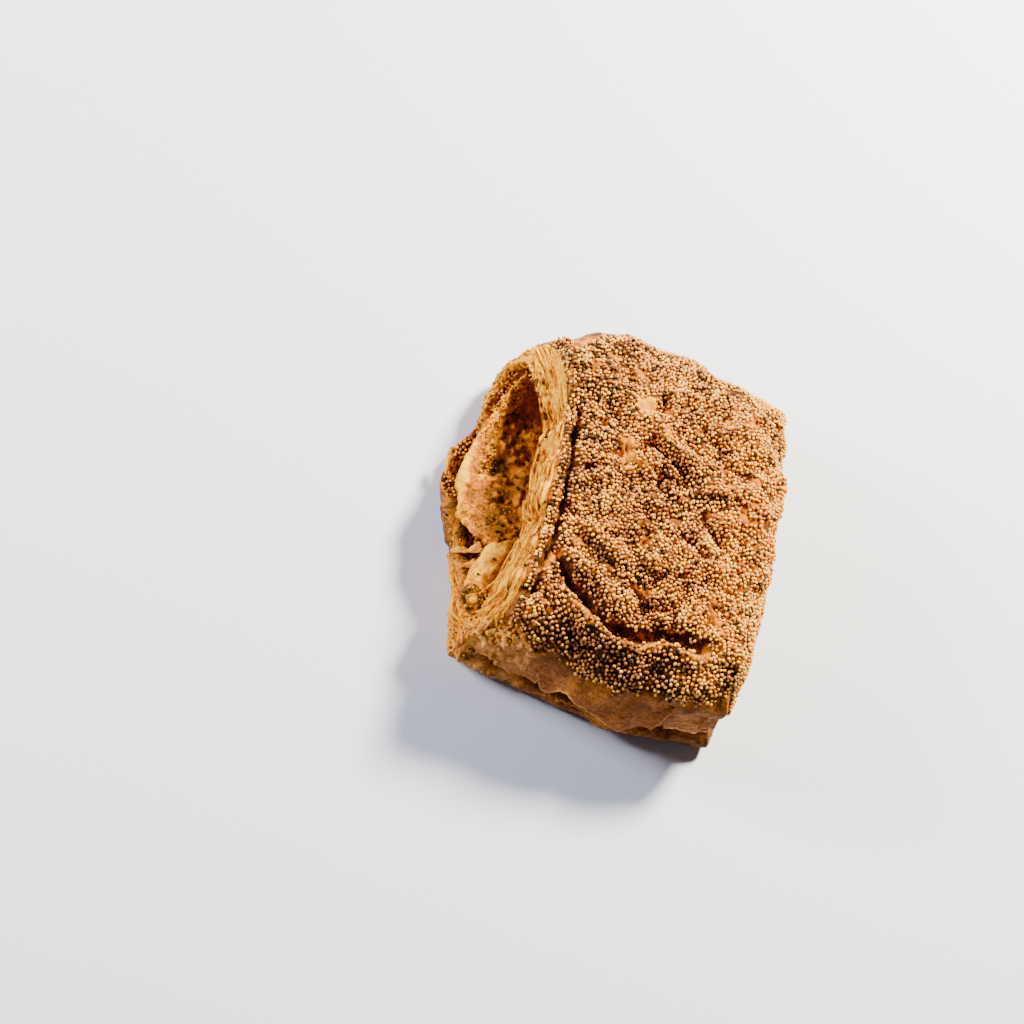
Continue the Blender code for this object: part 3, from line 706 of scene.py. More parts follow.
def read_attribute(obj, name):
    """The numbers that the vertices have under this name."""
    return read_all(obj.data.attributes[name].data, "value").astype(float)


def face_outwards(obj):
    """Turn every face of a closed surface outwards."""
    bm = bmesh.new()
    bm.from_mesh(obj.data)
    bmesh.ops.recalc_face_normals(bm, faces=bm.faces)
    if bm.calc_volume(signed=True) < 0.0:
        bmesh.ops.reverse_faces(bm, faces=bm.faces)
    bm.to_mesh(obj.data)
    bm.free()


def shade_smooth(obj, degrees=60.0):
    """Smooth shading, with sharp edges past the angle."""
    select_only(obj)
    bpy.ops.object.shade_smooth_by_angle(angle=math.radians(degrees))


def set_material(obj, *materials):
    """Replace the object's materials. Each face keeps its slot."""
    slots = read_all(obj.data.polygons, "material_index", kind=np.int32)
    obj.data.materials.clear()
    for material in materials:
        obj.data.materials.append(material)
    obj.data.polygons.foreach_set("material_index", slots)


def strand(name, path, tilt, segments, rings, rough=0.0):
    """A closed rounded strand through the rows of path, each (x, y, z, half width, half height), tilted sideways."""
    obj = ball(name, segments, rings)
    unit = coordinates(obj.data)
    along = np.arccos(np.clip(-unit[:, 2], -1.0, 1.0)) / math.pi
    turn = np.arctan2(unit[:, 1], unit[:, 0])
    rows = smooth_path(along, path)
    way = (smooth_path(along + 0.01, path) - smooth_path(along - 0.01, path))[:, :3]
    way /= np.linalg.norm(way, axis=1)[:, None]
    side = np.cross(way, (0.0, 0.0, 1.0))
    side /= np.linalg.norm(side, axis=1)[:, None]
    upward = np.cross(side, way)
    cosine, sine = math.cos(math.radians(tilt)), math.sin(math.radians(tilt))
    side, upward = side * cosine + upward * sine, upward * cosine - side * sine
    ends = np.sqrt(np.clip(1.0 - np.abs(2.0 * along - 1.0) ** 8, 0.0, 1.0))
    outward = side * (rows[:, 3] * np.cos(turn))[:, None] + upward * (rows[:, 4] * np.sin(turn))[:, None]
    at = rows[:, :3] + outward * ends[:, None]
    outward /= np.linalg.norm(outward, axis=1)[:, None] + 1e-9
    at += outward * (rough * (rough_noise(at, 0.0040, 91) + 0.4 * noise(at, 0.0012, 94)))[:, None]
    move_vertices(obj, at)
    face_outwards(obj)
    return obj, at, outward


def small_shape(segments, rings):
    """Points of a sphere of diameter 1 and its faces, for a shape that is copied many times."""
    pattern = ball("pattern", segments, rings)
    points = coordinates(pattern.data) * 0.5
    faces = [tuple(polygon.vertices) for polygon in pattern.data.polygons]
    bpy.data.objects.remove(pattern, do_unlink=True)
    return points, faces


def joined_copies(name, unit, polygons, places, axes, sizes):
    """One mesh of many copies of a small shape. Each row of axes holds a copy's three directions."""
    body = np.einsum("kj,njc->nkc", unit, axes)
    at = places[:, None] + body * sizes[:, None, None]
    base = np.arange(len(places)) * len(unit)
    faces = [tuple(start + corner for corner in polygon) for start in base.tolist() for polygon in polygons]
    mesh = bpy.data.meshes.new(name)
    mesh.from_pydata(at.reshape(-1, 3).tolist(), [], faces)
    mesh.polygons.foreach_set("use_smooth", np.ones(len(faces), bool))
    mesh.update()
    obj = bpy.data.objects.new(name, mesh)
    bpy.context.scene.collection.objects.link(obj)
    return obj


def turned_axes(normals, draw, lean):
    """Three directions for each copy: two at random across its normal, and the normal with a random lean."""
    upward = normals + draw.normal(0.0, lean, normals.shape)
    upward /= np.linalg.norm(upward, axis=1)[:, None]
    helper = np.where(np.abs(upward[:, 2:]) > 0.9, (1.0, 0.0, 0.0), (0.0, 0.0, 1.0))
    side = np.cross(helper, upward)
    side /= np.linalg.norm(side, axis=1)[:, None]
    other = np.cross(upward, side)
    spin = draw.uniform(0.0, 2.0 * math.pi, len(normals))[:, None]
    first = side * np.cos(spin) + other * np.sin(spin)
    return np.stack([first, np.cross(upward, first), upward], axis=1)


def surface_tree(objects):
    """A tree for ray casts on all these objects together."""
    points, faces = [], []
    for obj in objects:
        base = len(points)
        points.extend(coordinates(obj.data).tolist())
        faces.extend([base + corner for corner in polygon.vertices] for polygon in obj.data.polygons)
    return BVHTree.FromPolygons(points, faces)


def ground(tree, plan):
    """Highest surface points and normals at the rows of plan, for those that lie over the roll."""
    found = []
    for x, y in plan:
        hit, normal, _, _ = tree.ray_cast(Vector((x, y, 0.08)), Vector((0.0, 0.0, -1.0)))
        if hit is not None:
            found.append((*hit, *normal))
    found = np.array(found)
    return found[:, :3], found[:, 3:]


def pocket_frame(pocket):
    """Turn and middle of a pocket."""
    turn = Matrix.Rotation(pocket["turn"], 3, "Z") @ Matrix.Rotation(pocket["tilt"], 3, "Y")
    return np.array(turn), np.array(pocket["centre"])


def pocket_points(unit, pocket):
    """Points of a flattened, squared-off ellipsoid, lower towards the back, from points of a unit sphere."""
    turn, centre = pocket_frame(pocket)
    squared = np.sign(unit) * np.abs(unit) ** pocket["power"]
    squared[:, 2] *= 1.0 - pocket["taper"] * np.clip(unit[:, 1], 0.0, 1.0) ** 1.5
    return (squared * pocket["half"]) @ turn.T + centre


def side_point(u, v, w, height):
    """Points of the roll's surface without its fine relief, with u and v from -1 to 1 and w up the side."""
    return roll_surface(np.column_stack(np.broadcast_arrays(u, v, w)), height, fine=0.0)


def in_pocket(points, pocket):
    """Whether each point lies in the pocket."""
    turn, centre = pocket_frame(pocket)
    local = (points - centre) @ turn / pocket["half"]
    unit = np.abs(local) ** (1.0 / pocket["power"])
    lower = 1.0 - pocket["taper"] * np.where(local[:, 1] > 0.0, np.clip(unit[:, 1], 0.0, 1.0), 0.0) ** 1.5
    unit[:, 2] /= lower ** (1.0 / pocket["power"])
    return np.sum(unit ** 2, axis=1) < 1.0


def pocket_cutter(name, pocket, segments, rings):
    """The pocket's shape with an uneven surface. Its outer half lies past the cut end."""
    cutter = ball(name, segments, rings)
    unit = coordinates(cutter.data)
    at = pocket_points(unit, pocket)
    move_vertices(cutter, at + unit * (pocket["rough"] * rough_noise(at, 0.0050, 41))[:, None])
    return cutter


def cut_out(obj, cutter, slot):
    """Cut the cutter's shape out of obj, with the cut faces in material slot number slot."""
    cutter.data.materials.clear()
    for _ in range(slot + 1):
        cutter.data.materials.append(None)
    cutter.data.polygons.foreach_set("material_index", np.full(len(cutter.data.polygons), slot, np.int32))
    apply_modifier(obj, "BOOLEAN", operation="DIFFERENCE", object=cutter, solver="EXACT",
                   material_mode="INDEX")
    bpy.data.objects.remove(cutter, do_unlink=True)


def keep_outer_skin(obj):
    """Fill sealed hollows and drop loose scrap: only the largest connected surface stays."""
    bm = bmesh.new()
    bm.from_mesh(obj.data)
    left = set(bm.faces)
    groups = []
    while left:
        group, to_visit = [], [left.pop()]
        while to_visit:
            face = to_visit.pop()
            group.append(face)
            near = {other for edge in face.edges for other in edge.link_faces} & left
            left -= near
            to_visit.extend(near)
        groups.append(group)
    groups.sort(key=len, reverse=True)
    scrap = [face for group in groups[1:] for face in group]
    bmesh.ops.delete(bm, geom=scrap, context="FACES")
    bm.to_mesh(obj.data)
    bm.free()


# Materials

class Nodes:
    """Short calls for building a material's nodes."""

    def __init__(self, name):
        self.material = bpy.data.materials.new(name)
        self.material.use_nodes = True
        self.tree = self.material.node_tree
        self.shader = self.tree.nodes["Principled BSDF"]
        self.place = self.add("ShaderNodeTexCoord").outputs["Object"]

    def add(self, kind, **settings):
        """A new node with these settings."""
        node = self.tree.nodes.new(kind)
        for name, value in settings.items():
            setattr(node, name, value)
        return node

    def put(self, socket, value):
        """Link or set a socket."""
        if isinstance(value, bpy.types.NodeSocket):
            self.tree.links.new(value, socket)
        else:
            socket.default_value = value

    def noise(self, scale, detail=3.0, roughness=0.55, stretch=None):
        """Noise from 0 to 1, with the scale in cells per metre, drawn out along the axes of small stretch."""
        node = self.add("ShaderNodeTexNoise")
        place = self.place
        if stretch:
            scaling = self.add("ShaderNodeVectorMath", operation="MULTIPLY")
            self.put(scaling.inputs[0], place)
            self.put(scaling.inputs[1], stretch)
            place = scaling.outputs[0]
        for name, value in (("Vector", place), ("Scale", scale), ("Detail", detail), ("Roughness", roughness)):
            self.put(node.inputs[name], value)
        return node.outputs["Fac"]

    def attribute(self, name):
        """The vertices' numbers under this name."""
        return self.add("ShaderNodeAttribute", attribute_name=name).outputs["Fac"]

    def math(self, operation, first, second=0.0, clamp=False):
        """A sum, product or other operation on two numbers."""
        node = self.add("ShaderNodeMath", operation=operation, use_clamp=clamp)
        for socket, value in zip(node.inputs, (first, second)):
            self.put(socket, value)
        return node.outputs[0]

    def scaled(self, value, from_low, from_high, to_low, to_high):
        """A value moved from one range to another."""
        node = self.add("ShaderNodeMapRange")
        for socket, number in zip(node.inputs, (value, from_low, from_high, to_low, to_high)):
            self.put(socket, number)
        return node.outputs[0]

    def ramp(self, value, stops):
        """Colour ramp from a list of (position, colour)."""
        node = self.add("ShaderNodeValToRGB")
        elements = node.color_ramp.elements
        while len(elements) < len(stops):
            elements.new(0.5)
        for element, (position, colour) in zip(elements, stops):
            element.position = position
            element.color = (*colour, 1.0)
        self.put(node.inputs["Fac"], value)
        return node.outputs["Color"]

    def mix(self, share, first, second):
        """The first colour, giving way to the second as the share rises."""
        node = self.add("ShaderNodeMix", data_type="RGBA")
        sockets = [socket for socket in node.inputs if socket.type == "RGBA"]
        self.put(node.inputs[0], share)
        for socket, value in zip(sockets, (first, second)):
            self.put(socket, value if isinstance(value, bpy.types.NodeSocket) else (*value, 1.0))
        return [socket for socket in node.outputs if socket.type == "RGBA"][0]

    def bump(self, height, distance, strength, over=None):
        """Fine relief of the given height in metres, over other relief if there is some."""
        node = self.add("ShaderNodeBump")
        for name, value in (("Height", height), ("Distance", distance), ("Strength", strength)):
            self.put(node.inputs[name], value)
        if over is not None:
            self.put(node.inputs["Normal"], over)
        return node.outputs["Normal"]

    def finish(self, colour, roughness, normal, shine):
        """The finished material, with a buttery golden shine."""
        for name, value in (("Specular IOR Level", shine), ("Specular Tint", (*BUTTERY_SHINE, 1.0)),
                            ("Base Color", colour), ("Roughness", roughness), ("Normal", normal)):
            self.put(self.shader.inputs[name], value)
        return self.material


def baked_material(name, colours, fine_scale=1400.0, bump_height=0.00040, gloss=0.0, shine=0.10, mottle=0.20,
                   flowing=False):
    """Dough browned by the attribute bake, 0 pale crumb to 1 burnt, dusted with pale specks by dust, matte by dull."""
    nodes = Nodes(name)
    if flowing:
        flow = nodes.add("ShaderNodeCombineXYZ")
        nodes.put(flow.inputs[0], nodes.attribute("flow_along"))
        nodes.put(flow.inputs[1], nodes.attribute("flow_across"))
        nodes.place = flow.outputs[0]
    wide = nodes.noise(240.0, detail=4.0)
    fine = nodes.noise(fine_scale, detail=4.0, roughness=0.62)
    specks = nodes.noise(2600.0, detail=1.0)
    flour = nodes.noise(1700.0, detail=3.0, roughness=0.7)
    browned = nodes.math("ADD", nodes.attribute("bake"), nodes.scaled(wide, 0.3, 0.7, -0.18, 0.18))
    browned = nodes.math("ADD", browned, nodes.scaled(fine, 0.3, 0.7, -mottle, mottle))
    browned = nodes.math("ADD", browned, nodes.scaled(nodes.noise(620.0, roughness=0.65), 0.3, 0.7, -0.12, 0.12))
    browned = nodes.math("ADD", browned, nodes.scaled(specks, 0.62, 0.74, 0.0, 0.16), clamp=True)
    middle = tuple(0.38 * a + 0.62 * b for a, b in zip(colours.pale, colours.golden))
    colour = nodes.ramp(browned, ((0.0, colours.pale), (0.24, middle), (0.46, colours.golden),
                                  (0.74, colours.brown), (1.0, colours.burnt)))
    dusted = nodes.math("MULTIPLY", nodes.attribute("dust"), nodes.scaled(flour, 0.50, 0.60, 0.0, 0.9), clamp=True)
    colour = nodes.mix(dusted, colour, tuple(colours.pale))
    streaks = nodes.noise(1600.0, detail=5.0, roughness=0.68, stretch=(0.45, 0.45, 1.0))
    chalk = nodes.math("ADD", nodes.math("MULTIPLY", nodes.attribute("bake"), 0.55),
                       nodes.scaled(streaks, 0.3, 0.7, 0.0, 0.55))
    colour = nodes.mix(nodes.attribute("dull"), colour, nodes.ramp(chalk, MATTE_COLOURS))
    normal = nodes.bump(fine, bump_height, 0.9)
    normal = nodes.bump(wide, 0.0006, 0.5, over=normal)
    roughness = nodes.scaled(fine, 0.3, 0.7, 0.62 - gloss, 0.44 - gloss)
    return nodes.finish(colour, roughness, normal, shine)


def seed_material(name, light, dark):
    """Poppy seed coat, each seed with its own tone from the vertex attribute tone."""
    nodes = Nodes(name)
    pits = nodes.noise(5200.0, detail=2.0)
    tone = nodes.math("ADD", nodes.attribute("tone"), nodes.scaled(pits, 0.3, 0.7, -0.12, 0.12), clamp=True)
    colour = nodes.ramp(tone, ((0.0, dark), (1.0, light)))
    normal = nodes.bump(pits, 0.00006, 0.6)
    return nodes.finish(colour, nodes.scaled(pits, 0.3, 0.7, 0.55, 0.40), normal, 0.20)


# Operators

class RollOperator(bpy.types.Operator):
    """Base of the roll's operators."""

    bl_options = {"REGISTER"}

    def execute(self, context):
        self.make(context.scene)
        return {"FINISHED"}

    def carry(self, piece):
        """Let a finished piece ride on the body."""
        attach(piece, "root")

    def place(self, piece, scene):
        """Centre a finished piece with the roll and let the body carry it."""
        piece.data.transform(Matrix.Translation(scene["roll_shift"]))
        self.carry(piece)


class ROLL_OT_crust(RollOperator):
    """Baked dough with its folds, mouth and slits"""

    bl_idname = "roll.crust"
    bl_label = "Crust"

    def make(self, scene):
        form = scene.roll_form
        crust = divided_box("crust", (form.cells_x, form.cells_y, form.cells_z))
        box = coordinates(crust.data)
        at = roll_surface(box, form.height)
        scene["roll_shift"] = list(-(at.min(axis=0) + at.max(axis=0))[:2] / 2.0) + [0.0]
        move_vertices(crust, at)
        self.bake(crust, box, at)
        cut_out(crust, pocket_cutter("mouth", OPEN_MOUTH, 90, 60), POCKET_SKIN)
        for slit in TIGHT_SLITS:
            cut_out(crust, pocket_cutter("slit", slit, 60, 20), POCKET_SKIN)
        keep_outer_skin(crust)
        self.bake_cavity(crust)
        colours = scene.roll_colours
        set_material(crust, baked_material("baked_crust", colours),
                     baked_material("pocket_skin", colours, fine_scale=900.0, bump_height=0.00014,
                                    gloss=0.12, shine=0.18))
        shade_smooth(crust)
        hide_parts("roll")
        self.place(crust, scene)

    def bake(self, crust, box, at):
        """Browning, dusting and seed cover of the outer crust, with painted shade in its furrows, crease floor, groove
        and along the front, and painted light towards the right end.
        """
        u, v = box[:, 0], box[:, 1]
        x, y, z = at.T
        edge_x = top_plan(-np.ones_like(v), v)[:, 0]
        strength, across = crease_place(x, y)
        depth = valleys(x, y) - wrinkles(x, y)
        on_top = smooth_step(z, 0.026, 0.030)
        shaken = across + 0.75 * rough_noise(at, 0.0024, 90)
        in_crease = np.sqrt(strength) * smooth_fall(np.abs(shaken + 0.25), 1.2, 1.7) * on_top
        in_crease *= np.where(across < -0.8, smooth_step(rough_noise(at, 0.0020, 46), -0.70, -0.35), 1.0)
        floor = strength * np.exp(-((shaken - 0.5) / 0.9) ** 2) * on_top
        covers = bare_patches(x, y) * smooth_step(z, 0.018, 0.024)
        ragged = 0.0016 * rough_noise(at, 0.0040, 84)
        fold = smooth_step(-v, 0.90, 0.97)
        left = smooth_step(-x, 0.010, 0.021)
        back_left = smooth_step(v, 0.90, 0.97) * smooth_step(-x, 0.0, 0.012)
        lowest = 0.0085 + (0.0165 + 0.0040 * left) * fold + 0.0175 * back_left
        end_face = smooth_step(-u, 0.90, 0.97)
        lowest = lowest * (1.0 - end_face) + 0.0025 * end_face
        seeded = smooth_step(z + ragged, lowest - 0.0006, lowest + 0.0010)
        fringe = 0.0022 + 0.0080 * smooth_step(y, 0.020, 0.045)
        seeded *= 1.0 - smooth_step(-u, 0.995, 1.0) * smooth_step(z + 0.5 * ragged, fringe, fringe + 0.001)
        past_edge = np.maximum(smooth_step(edge_x + 0.0004 - x, 0.0, 0.0004) * smooth_step(z, 0.016, 0.020),
                               smooth_step(edge_x + 0.0004 - x, 0.0, 0.0004) * smooth_step(-y, 0.010, 0.016))
        seeded *= (1.0 - in_crease) * (1.0 - covers.max(axis=0)) * (1.0 - past_edge)
        corner = toasted_corner(x, y, z)
        seeded *= 1.0 - 0.9 * corner
        seeded *= 1.0 - 0.85 * smooth_step(noise(at, 0.0026, 89) + 260.0 * depth, 0.45, 0.75) * on_top
        seeded *= 1.0 - 0.25 * smooth_step(x, 0.034, 0.042) - 0.20 * smooth_step(-z, -0.020, -0.008)
        groove = groove_share(x, y, edge_x)
        seeded *= smooth_fall(groove + 0.20 * rough_noise(at, 0.0020, 47), 0.16, 0.40)
        thin = smooth_step(-y, 0.0395, 0.0425) * smooth_step(noise(at, 0.0045, 94), -0.25, 0.35)
        seeded *= 1.0 - 0.35 * thin
        on_face = (u < -0.999) & (box[:, 2] < 0.999)
        seeded = np.where(on_face & self.past_leaves(v, box[:, 2]), 1.0, seeded)
        write_attributes(crust, seeded=np.clip(seeded, 0.0, 1.0))
        # Darker in the furrows (110 * depth): painted shade.
        bake = 0.64 + 0.27 * np.clip(seeded, 0.0, 1.0) + 0.12 * noise(at, 0.012, 81) + 110.0 * depth * on_top
        # Paler towards the right end: painted light.
        bake -= 0.20 * smooth_step(x, 0.018, 0.036)
        # Darker along the front band, partly real browning and partly painted shade of the shaded front.
        front_band = smooth_step(-y, 0.0395, 0.0425) * smooth_step(z, 0.016, 0.020)
        browner_and_painted_shade = (0.24 + 0.30 * rough_noise(at, 0.0040, 68)) * front_band
        bake += browner_and_painted_shade * smooth_step(x, -0.024, -0.012) * smooth_fall(x, 0.022, 0.036)
        bare_front = fold * smooth_fall(z + ragged, lowest - 0.002, lowest)
        # The bare front fold is painted dark, partly its own baked colour and partly painted shade of the shaded front.
        front_bake = 0.70 + 0.24 * noise(at, 0.004, 85) - 0.18 * smooth_step(-x, 0.0, 0.020)
        bake = bake * (1.0 - bare_front) + front_bake * bare_front
        dust = 0.16 * bare_front + 0.35 * corner
        aside = np.maximum(smooth_step(v, 0.88, 0.97), smooth_step(u, 0.88, 0.97))
        bake += 0.14 * aside * (1.0 + 0.9 * rough_noise(at, 0.0040, 49))
        bare_side = aside * smooth_fall(z + ragged, lowest - 0.002, lowest)
        # The crease floor is darkened (0.42 * floor), partly browned skin and partly painted shade in the crease.
        bake = bake * (1.0 - in_crease) + (0.66 + 0.40 * rough_noise(at, 0.0016, 92)) * in_crease + 0.42 * floor
        flour = smooth_step(noise(at, 0.0050, 93), -0.3, 0.3)
        dust = np.maximum(dust, 0.75 * in_crease * smooth_step(-across, 0.2, 1.0) * flour)
        for cover, (_, _, _, _, _, patch_bake, patch_dust) in zip(covers, BARE_PATCHES):
            bake = bake * (1.0 - cover) + patch_bake * cover
            dust = dust * (1.0 - cover) + patch_dust * cover
            bake += 0.30 * rough_noise(at, 0.0015, 48) * cover
        # Darker in the groove along the cut edge, partly bare brown crust and partly painted shade.
        bake += 0.32 * groove
        bake = np.where(corner > 0.0, bake + corner * (0.50 * noise(at, 0.0020, 86) - 0.36), bake)
        bake = bake + 0.16 * back_left * smooth_fall(z, 0.024, 0.028) * (0.6 + noise(at, 0.0022, 69))
        bake = np.where(z < 1e-6, 0.52 + 0.08 * noise(at, 0.010, 87), bake)
        dull = bare_front + 0.8 * bare_side * (1.0 - bare_front)
        dull *= 0.85 + 0.15 * noise(at * (0.3, 0.3, 1.0), 0.0030, 99)
        dull *= 1.0 - covers.max(axis=0)
        dull = np.maximum(dull, DULL_CORNER * corner)
        write_attributes(crust, bake=bake, dust=dust, dull=dull)

    def past_leaves(self, v, w):
        """Whether points of the open end's square lie past the leaves' rounded corner at the back."""
        across, up = v - MOUTH_MIDDLE[0], w - MOUTH_MIDDLE[1]
        reach = leaf_reach(np.arctan2(up, across))
        return (across > 0.0) & (up > 0.0) & (np.hypot(across, up) > reach + 0.01)

    def bake_cavity(self, crust):
        """Browning of the pockets' skin."""
        bake, dust = read_attribute(crust, "bake"), read_attribute(crust, "dust")
        inner = np.zeros(len(bake), bool)
        for polygon in crust.data.polygons:
            if polygon.material_index == POCKET_SKIN:
                inner[list(polygon.vertices)] = True
        at = coordinates(crust.data)
        bake[inner] = (0.36 + 0.14 * noise(at, 0.006, 88))[inner]
        dust[inner] = 0.0
        write_attributes(crust, bake=bake, dust=dust)


class ROLL_OT_inner_flap(RollOperator):
    """Blistered inner flap that rises in the mouth"""

    bl_idname = "roll.inner_flap"
    bl_label = "Inner flap"

    def make(self, scene):
        flap = divided_box("inner_flap", (220, 96, 6))
        box = coordinates(flap.data)
        at = flap_surface(box)
        move_vertices(flap, at)
        face_outwards(flap)
        along, across = (box[:, 0] + 1.0) / 2.0, (box[:, 1] + 1.0) / 2.0
        x, y = at[:, 0], at[:, 1]
        lip_width = 0.035 + 0.055 * smooth_step(along, 0.28, 0.42) * smooth_fall(along, 0.56, 0.68)
        edge = smooth_fall(across + 0.03 * noise(at, 0.0022, 79), 0.4 * lip_width, 1.5 * lip_width)
        edge = np.maximum(edge, smooth_fall(along, 0.0, 0.05))
        bake = 0.50 + 0.16 * noise(at, 0.0055, 82) + 0.18 * rough_noise(at, 0.0017, 80)
        # Darker deeper in under the rim, partly browning and partly painted shade, and darker on the lower lobe where
        # the key light falls fully: painted shade.
        bake += 0.06 * smooth_step(across, 0.30, 0.80)
        lower = smooth_step(-y, -0.002, 0.004)
        bake += (0.08 + 0.20 * lower) * smooth_step(across, 0.05, 0.16) * smooth_fall(across, 0.45, 0.80)
        bake = np.minimum(bake, 0.70 + 0.10 * lower)
        bake = np.maximum(bake, 0.40 + 0.04 * smooth_step(across, 0.20, 0.50) + 0.10 * noise(at, 0.0012, 75))
        away = np.hypot(x - BURNT_HOLLOW["at"][0], y - BURNT_HOLLOW["at"][1]) / BURNT_HOLLOW["radius"]
        bake += 0.20 * np.exp(-(away / 1.7) ** 2) + 0.16 * np.exp(-(away / 0.6) ** 2)
        toasted = flap_toasting(along, across)
        bake += 0.5 * flap_pits(x, y)
        bake += toasted * (0.8 * noise(at, 0.0009, 83) - 0.12)
        line, half_width, _ = FLAP_FOLD
        beside, place = line_distance(x, y, line)
        bake -= 0.25 * faded(place, 0.3) * np.exp(-(beside / half_width) ** 2)
        lip_bake = 0.16 + 0.30 * noise(at, 0.0030, 77) + 0.34 * rough_noise(at, 0.0013, 76)
        lip_bake += 0.38 * smooth_step(along, 0.62, 0.72)
        bake = bake * (1.0 - edge) + lip_bake * edge
        write_attributes(flap, bake=bake, dust=0.30 * toasted + 0.10 * smooth_fall(across, 0.45, 0.75))
        set_material(flap, baked_material("flap_skin", scene.roll_colours, fine_scale=1100.0,
                                          bump_height=0.00065, gloss=0.04, shine=0.10, mottle=0.17))
        shade_smooth(flap)
        self.place(flap, scene)


class ROLL_OT_turned_fold(RollOperator):
    """Fold of dough that turns in below the flap, the knob at its end and the strands beside it"""

    bl_idname = "roll.turned_fold"
    bl_label = "Turned fold, knob and strands"

    lit_from = (-0.75, 0.10, 0.65)

    def make(self, scene):
        for name, (path, tilt, bake, painted_light) in STRANDS.items():
            obj, at, outward = strand(name, path, tilt, 64, 80, 0.00045)
            # The side facing the light from the left is painted paler and flecked with pale specks: painted light.
            painted_light_side = smooth_step(outward @ np.array(self.lit_from), 0.1, 0.95)
            blotches = 0.16 * noise(at, 0.0035, 95) + 0.24 * rough_noise(at, 0.0013, 100)
            write_attributes(obj, bake=bake - painted_light * painted_light_side + blotches, dust=0.05 + 0.25 * painted_light_side,
                             dull=0.05 if name in ("web_strand", "short_strand") else 0.0)
            set_material(obj, baked_material(name + "_skin", scene.roll_colours, fine_scale=1100.0,
                                             bump_height=0.00042, gloss=0.10, mottle=0.26))
            shade_smooth(obj)
            self.place(obj, scene)
        self.add_knob(scene)

    def add_knob(self, scene):
        """The curled and toasted end of the turned fold."""
        knob = ball("knob", 72, 48)
        unit = coordinates(knob.data)
        turn = np.array(Vector(KNOB["facing"]).to_track_quat("Z", "Y").to_matrix())
        out = np.hypot(unit[:, 0], unit[:, 1])
        angle = np.arctan2(unit[:, 1], unit[:, 0])
        swirl = out * 3.1 - angle / (2.0 * math.pi)
        front = smooth_step(unit[:, 2], -0.1, 0.3)
        groove = front * (0.5 + 0.5 * np.cos(2.0 * math.pi * swirl)) * smooth_step(out, 0.10, 0.30)
        at = unit * (1.0, 0.86, 0.62) * KNOB["radius"]
        rough = 0.00030 * np.abs(noise(at + 1.0, 0.0009, 96)) + 0.0004 * noise(at + 1.0, 0.0030, 97)
        at += unit * (rough - 0.00055 * groove)[:, None]
        move_vertices(knob, at @ turn.T + np.array(KNOB["at"]))
        face_outwards(knob)
        ring = np.exp(-((out - 0.62) / 0.22) ** 2) * front
        core = np.exp(-(out / 0.26) ** 2) * front
        bake = 0.50 + ring * (0.48 + 1.3 * noise(at + 1.0, 0.0009, 98)) - 0.60 * core + 0.20 * groove
        write_attributes(knob, bake=bake, dust=0.2 * ring + 0.5 * core)
        set_material(knob, baked_material("knob_skin", scene.roll_colours, fine_scale=1500.0))
        shade_smooth(knob)
        self.place(knob, scene)


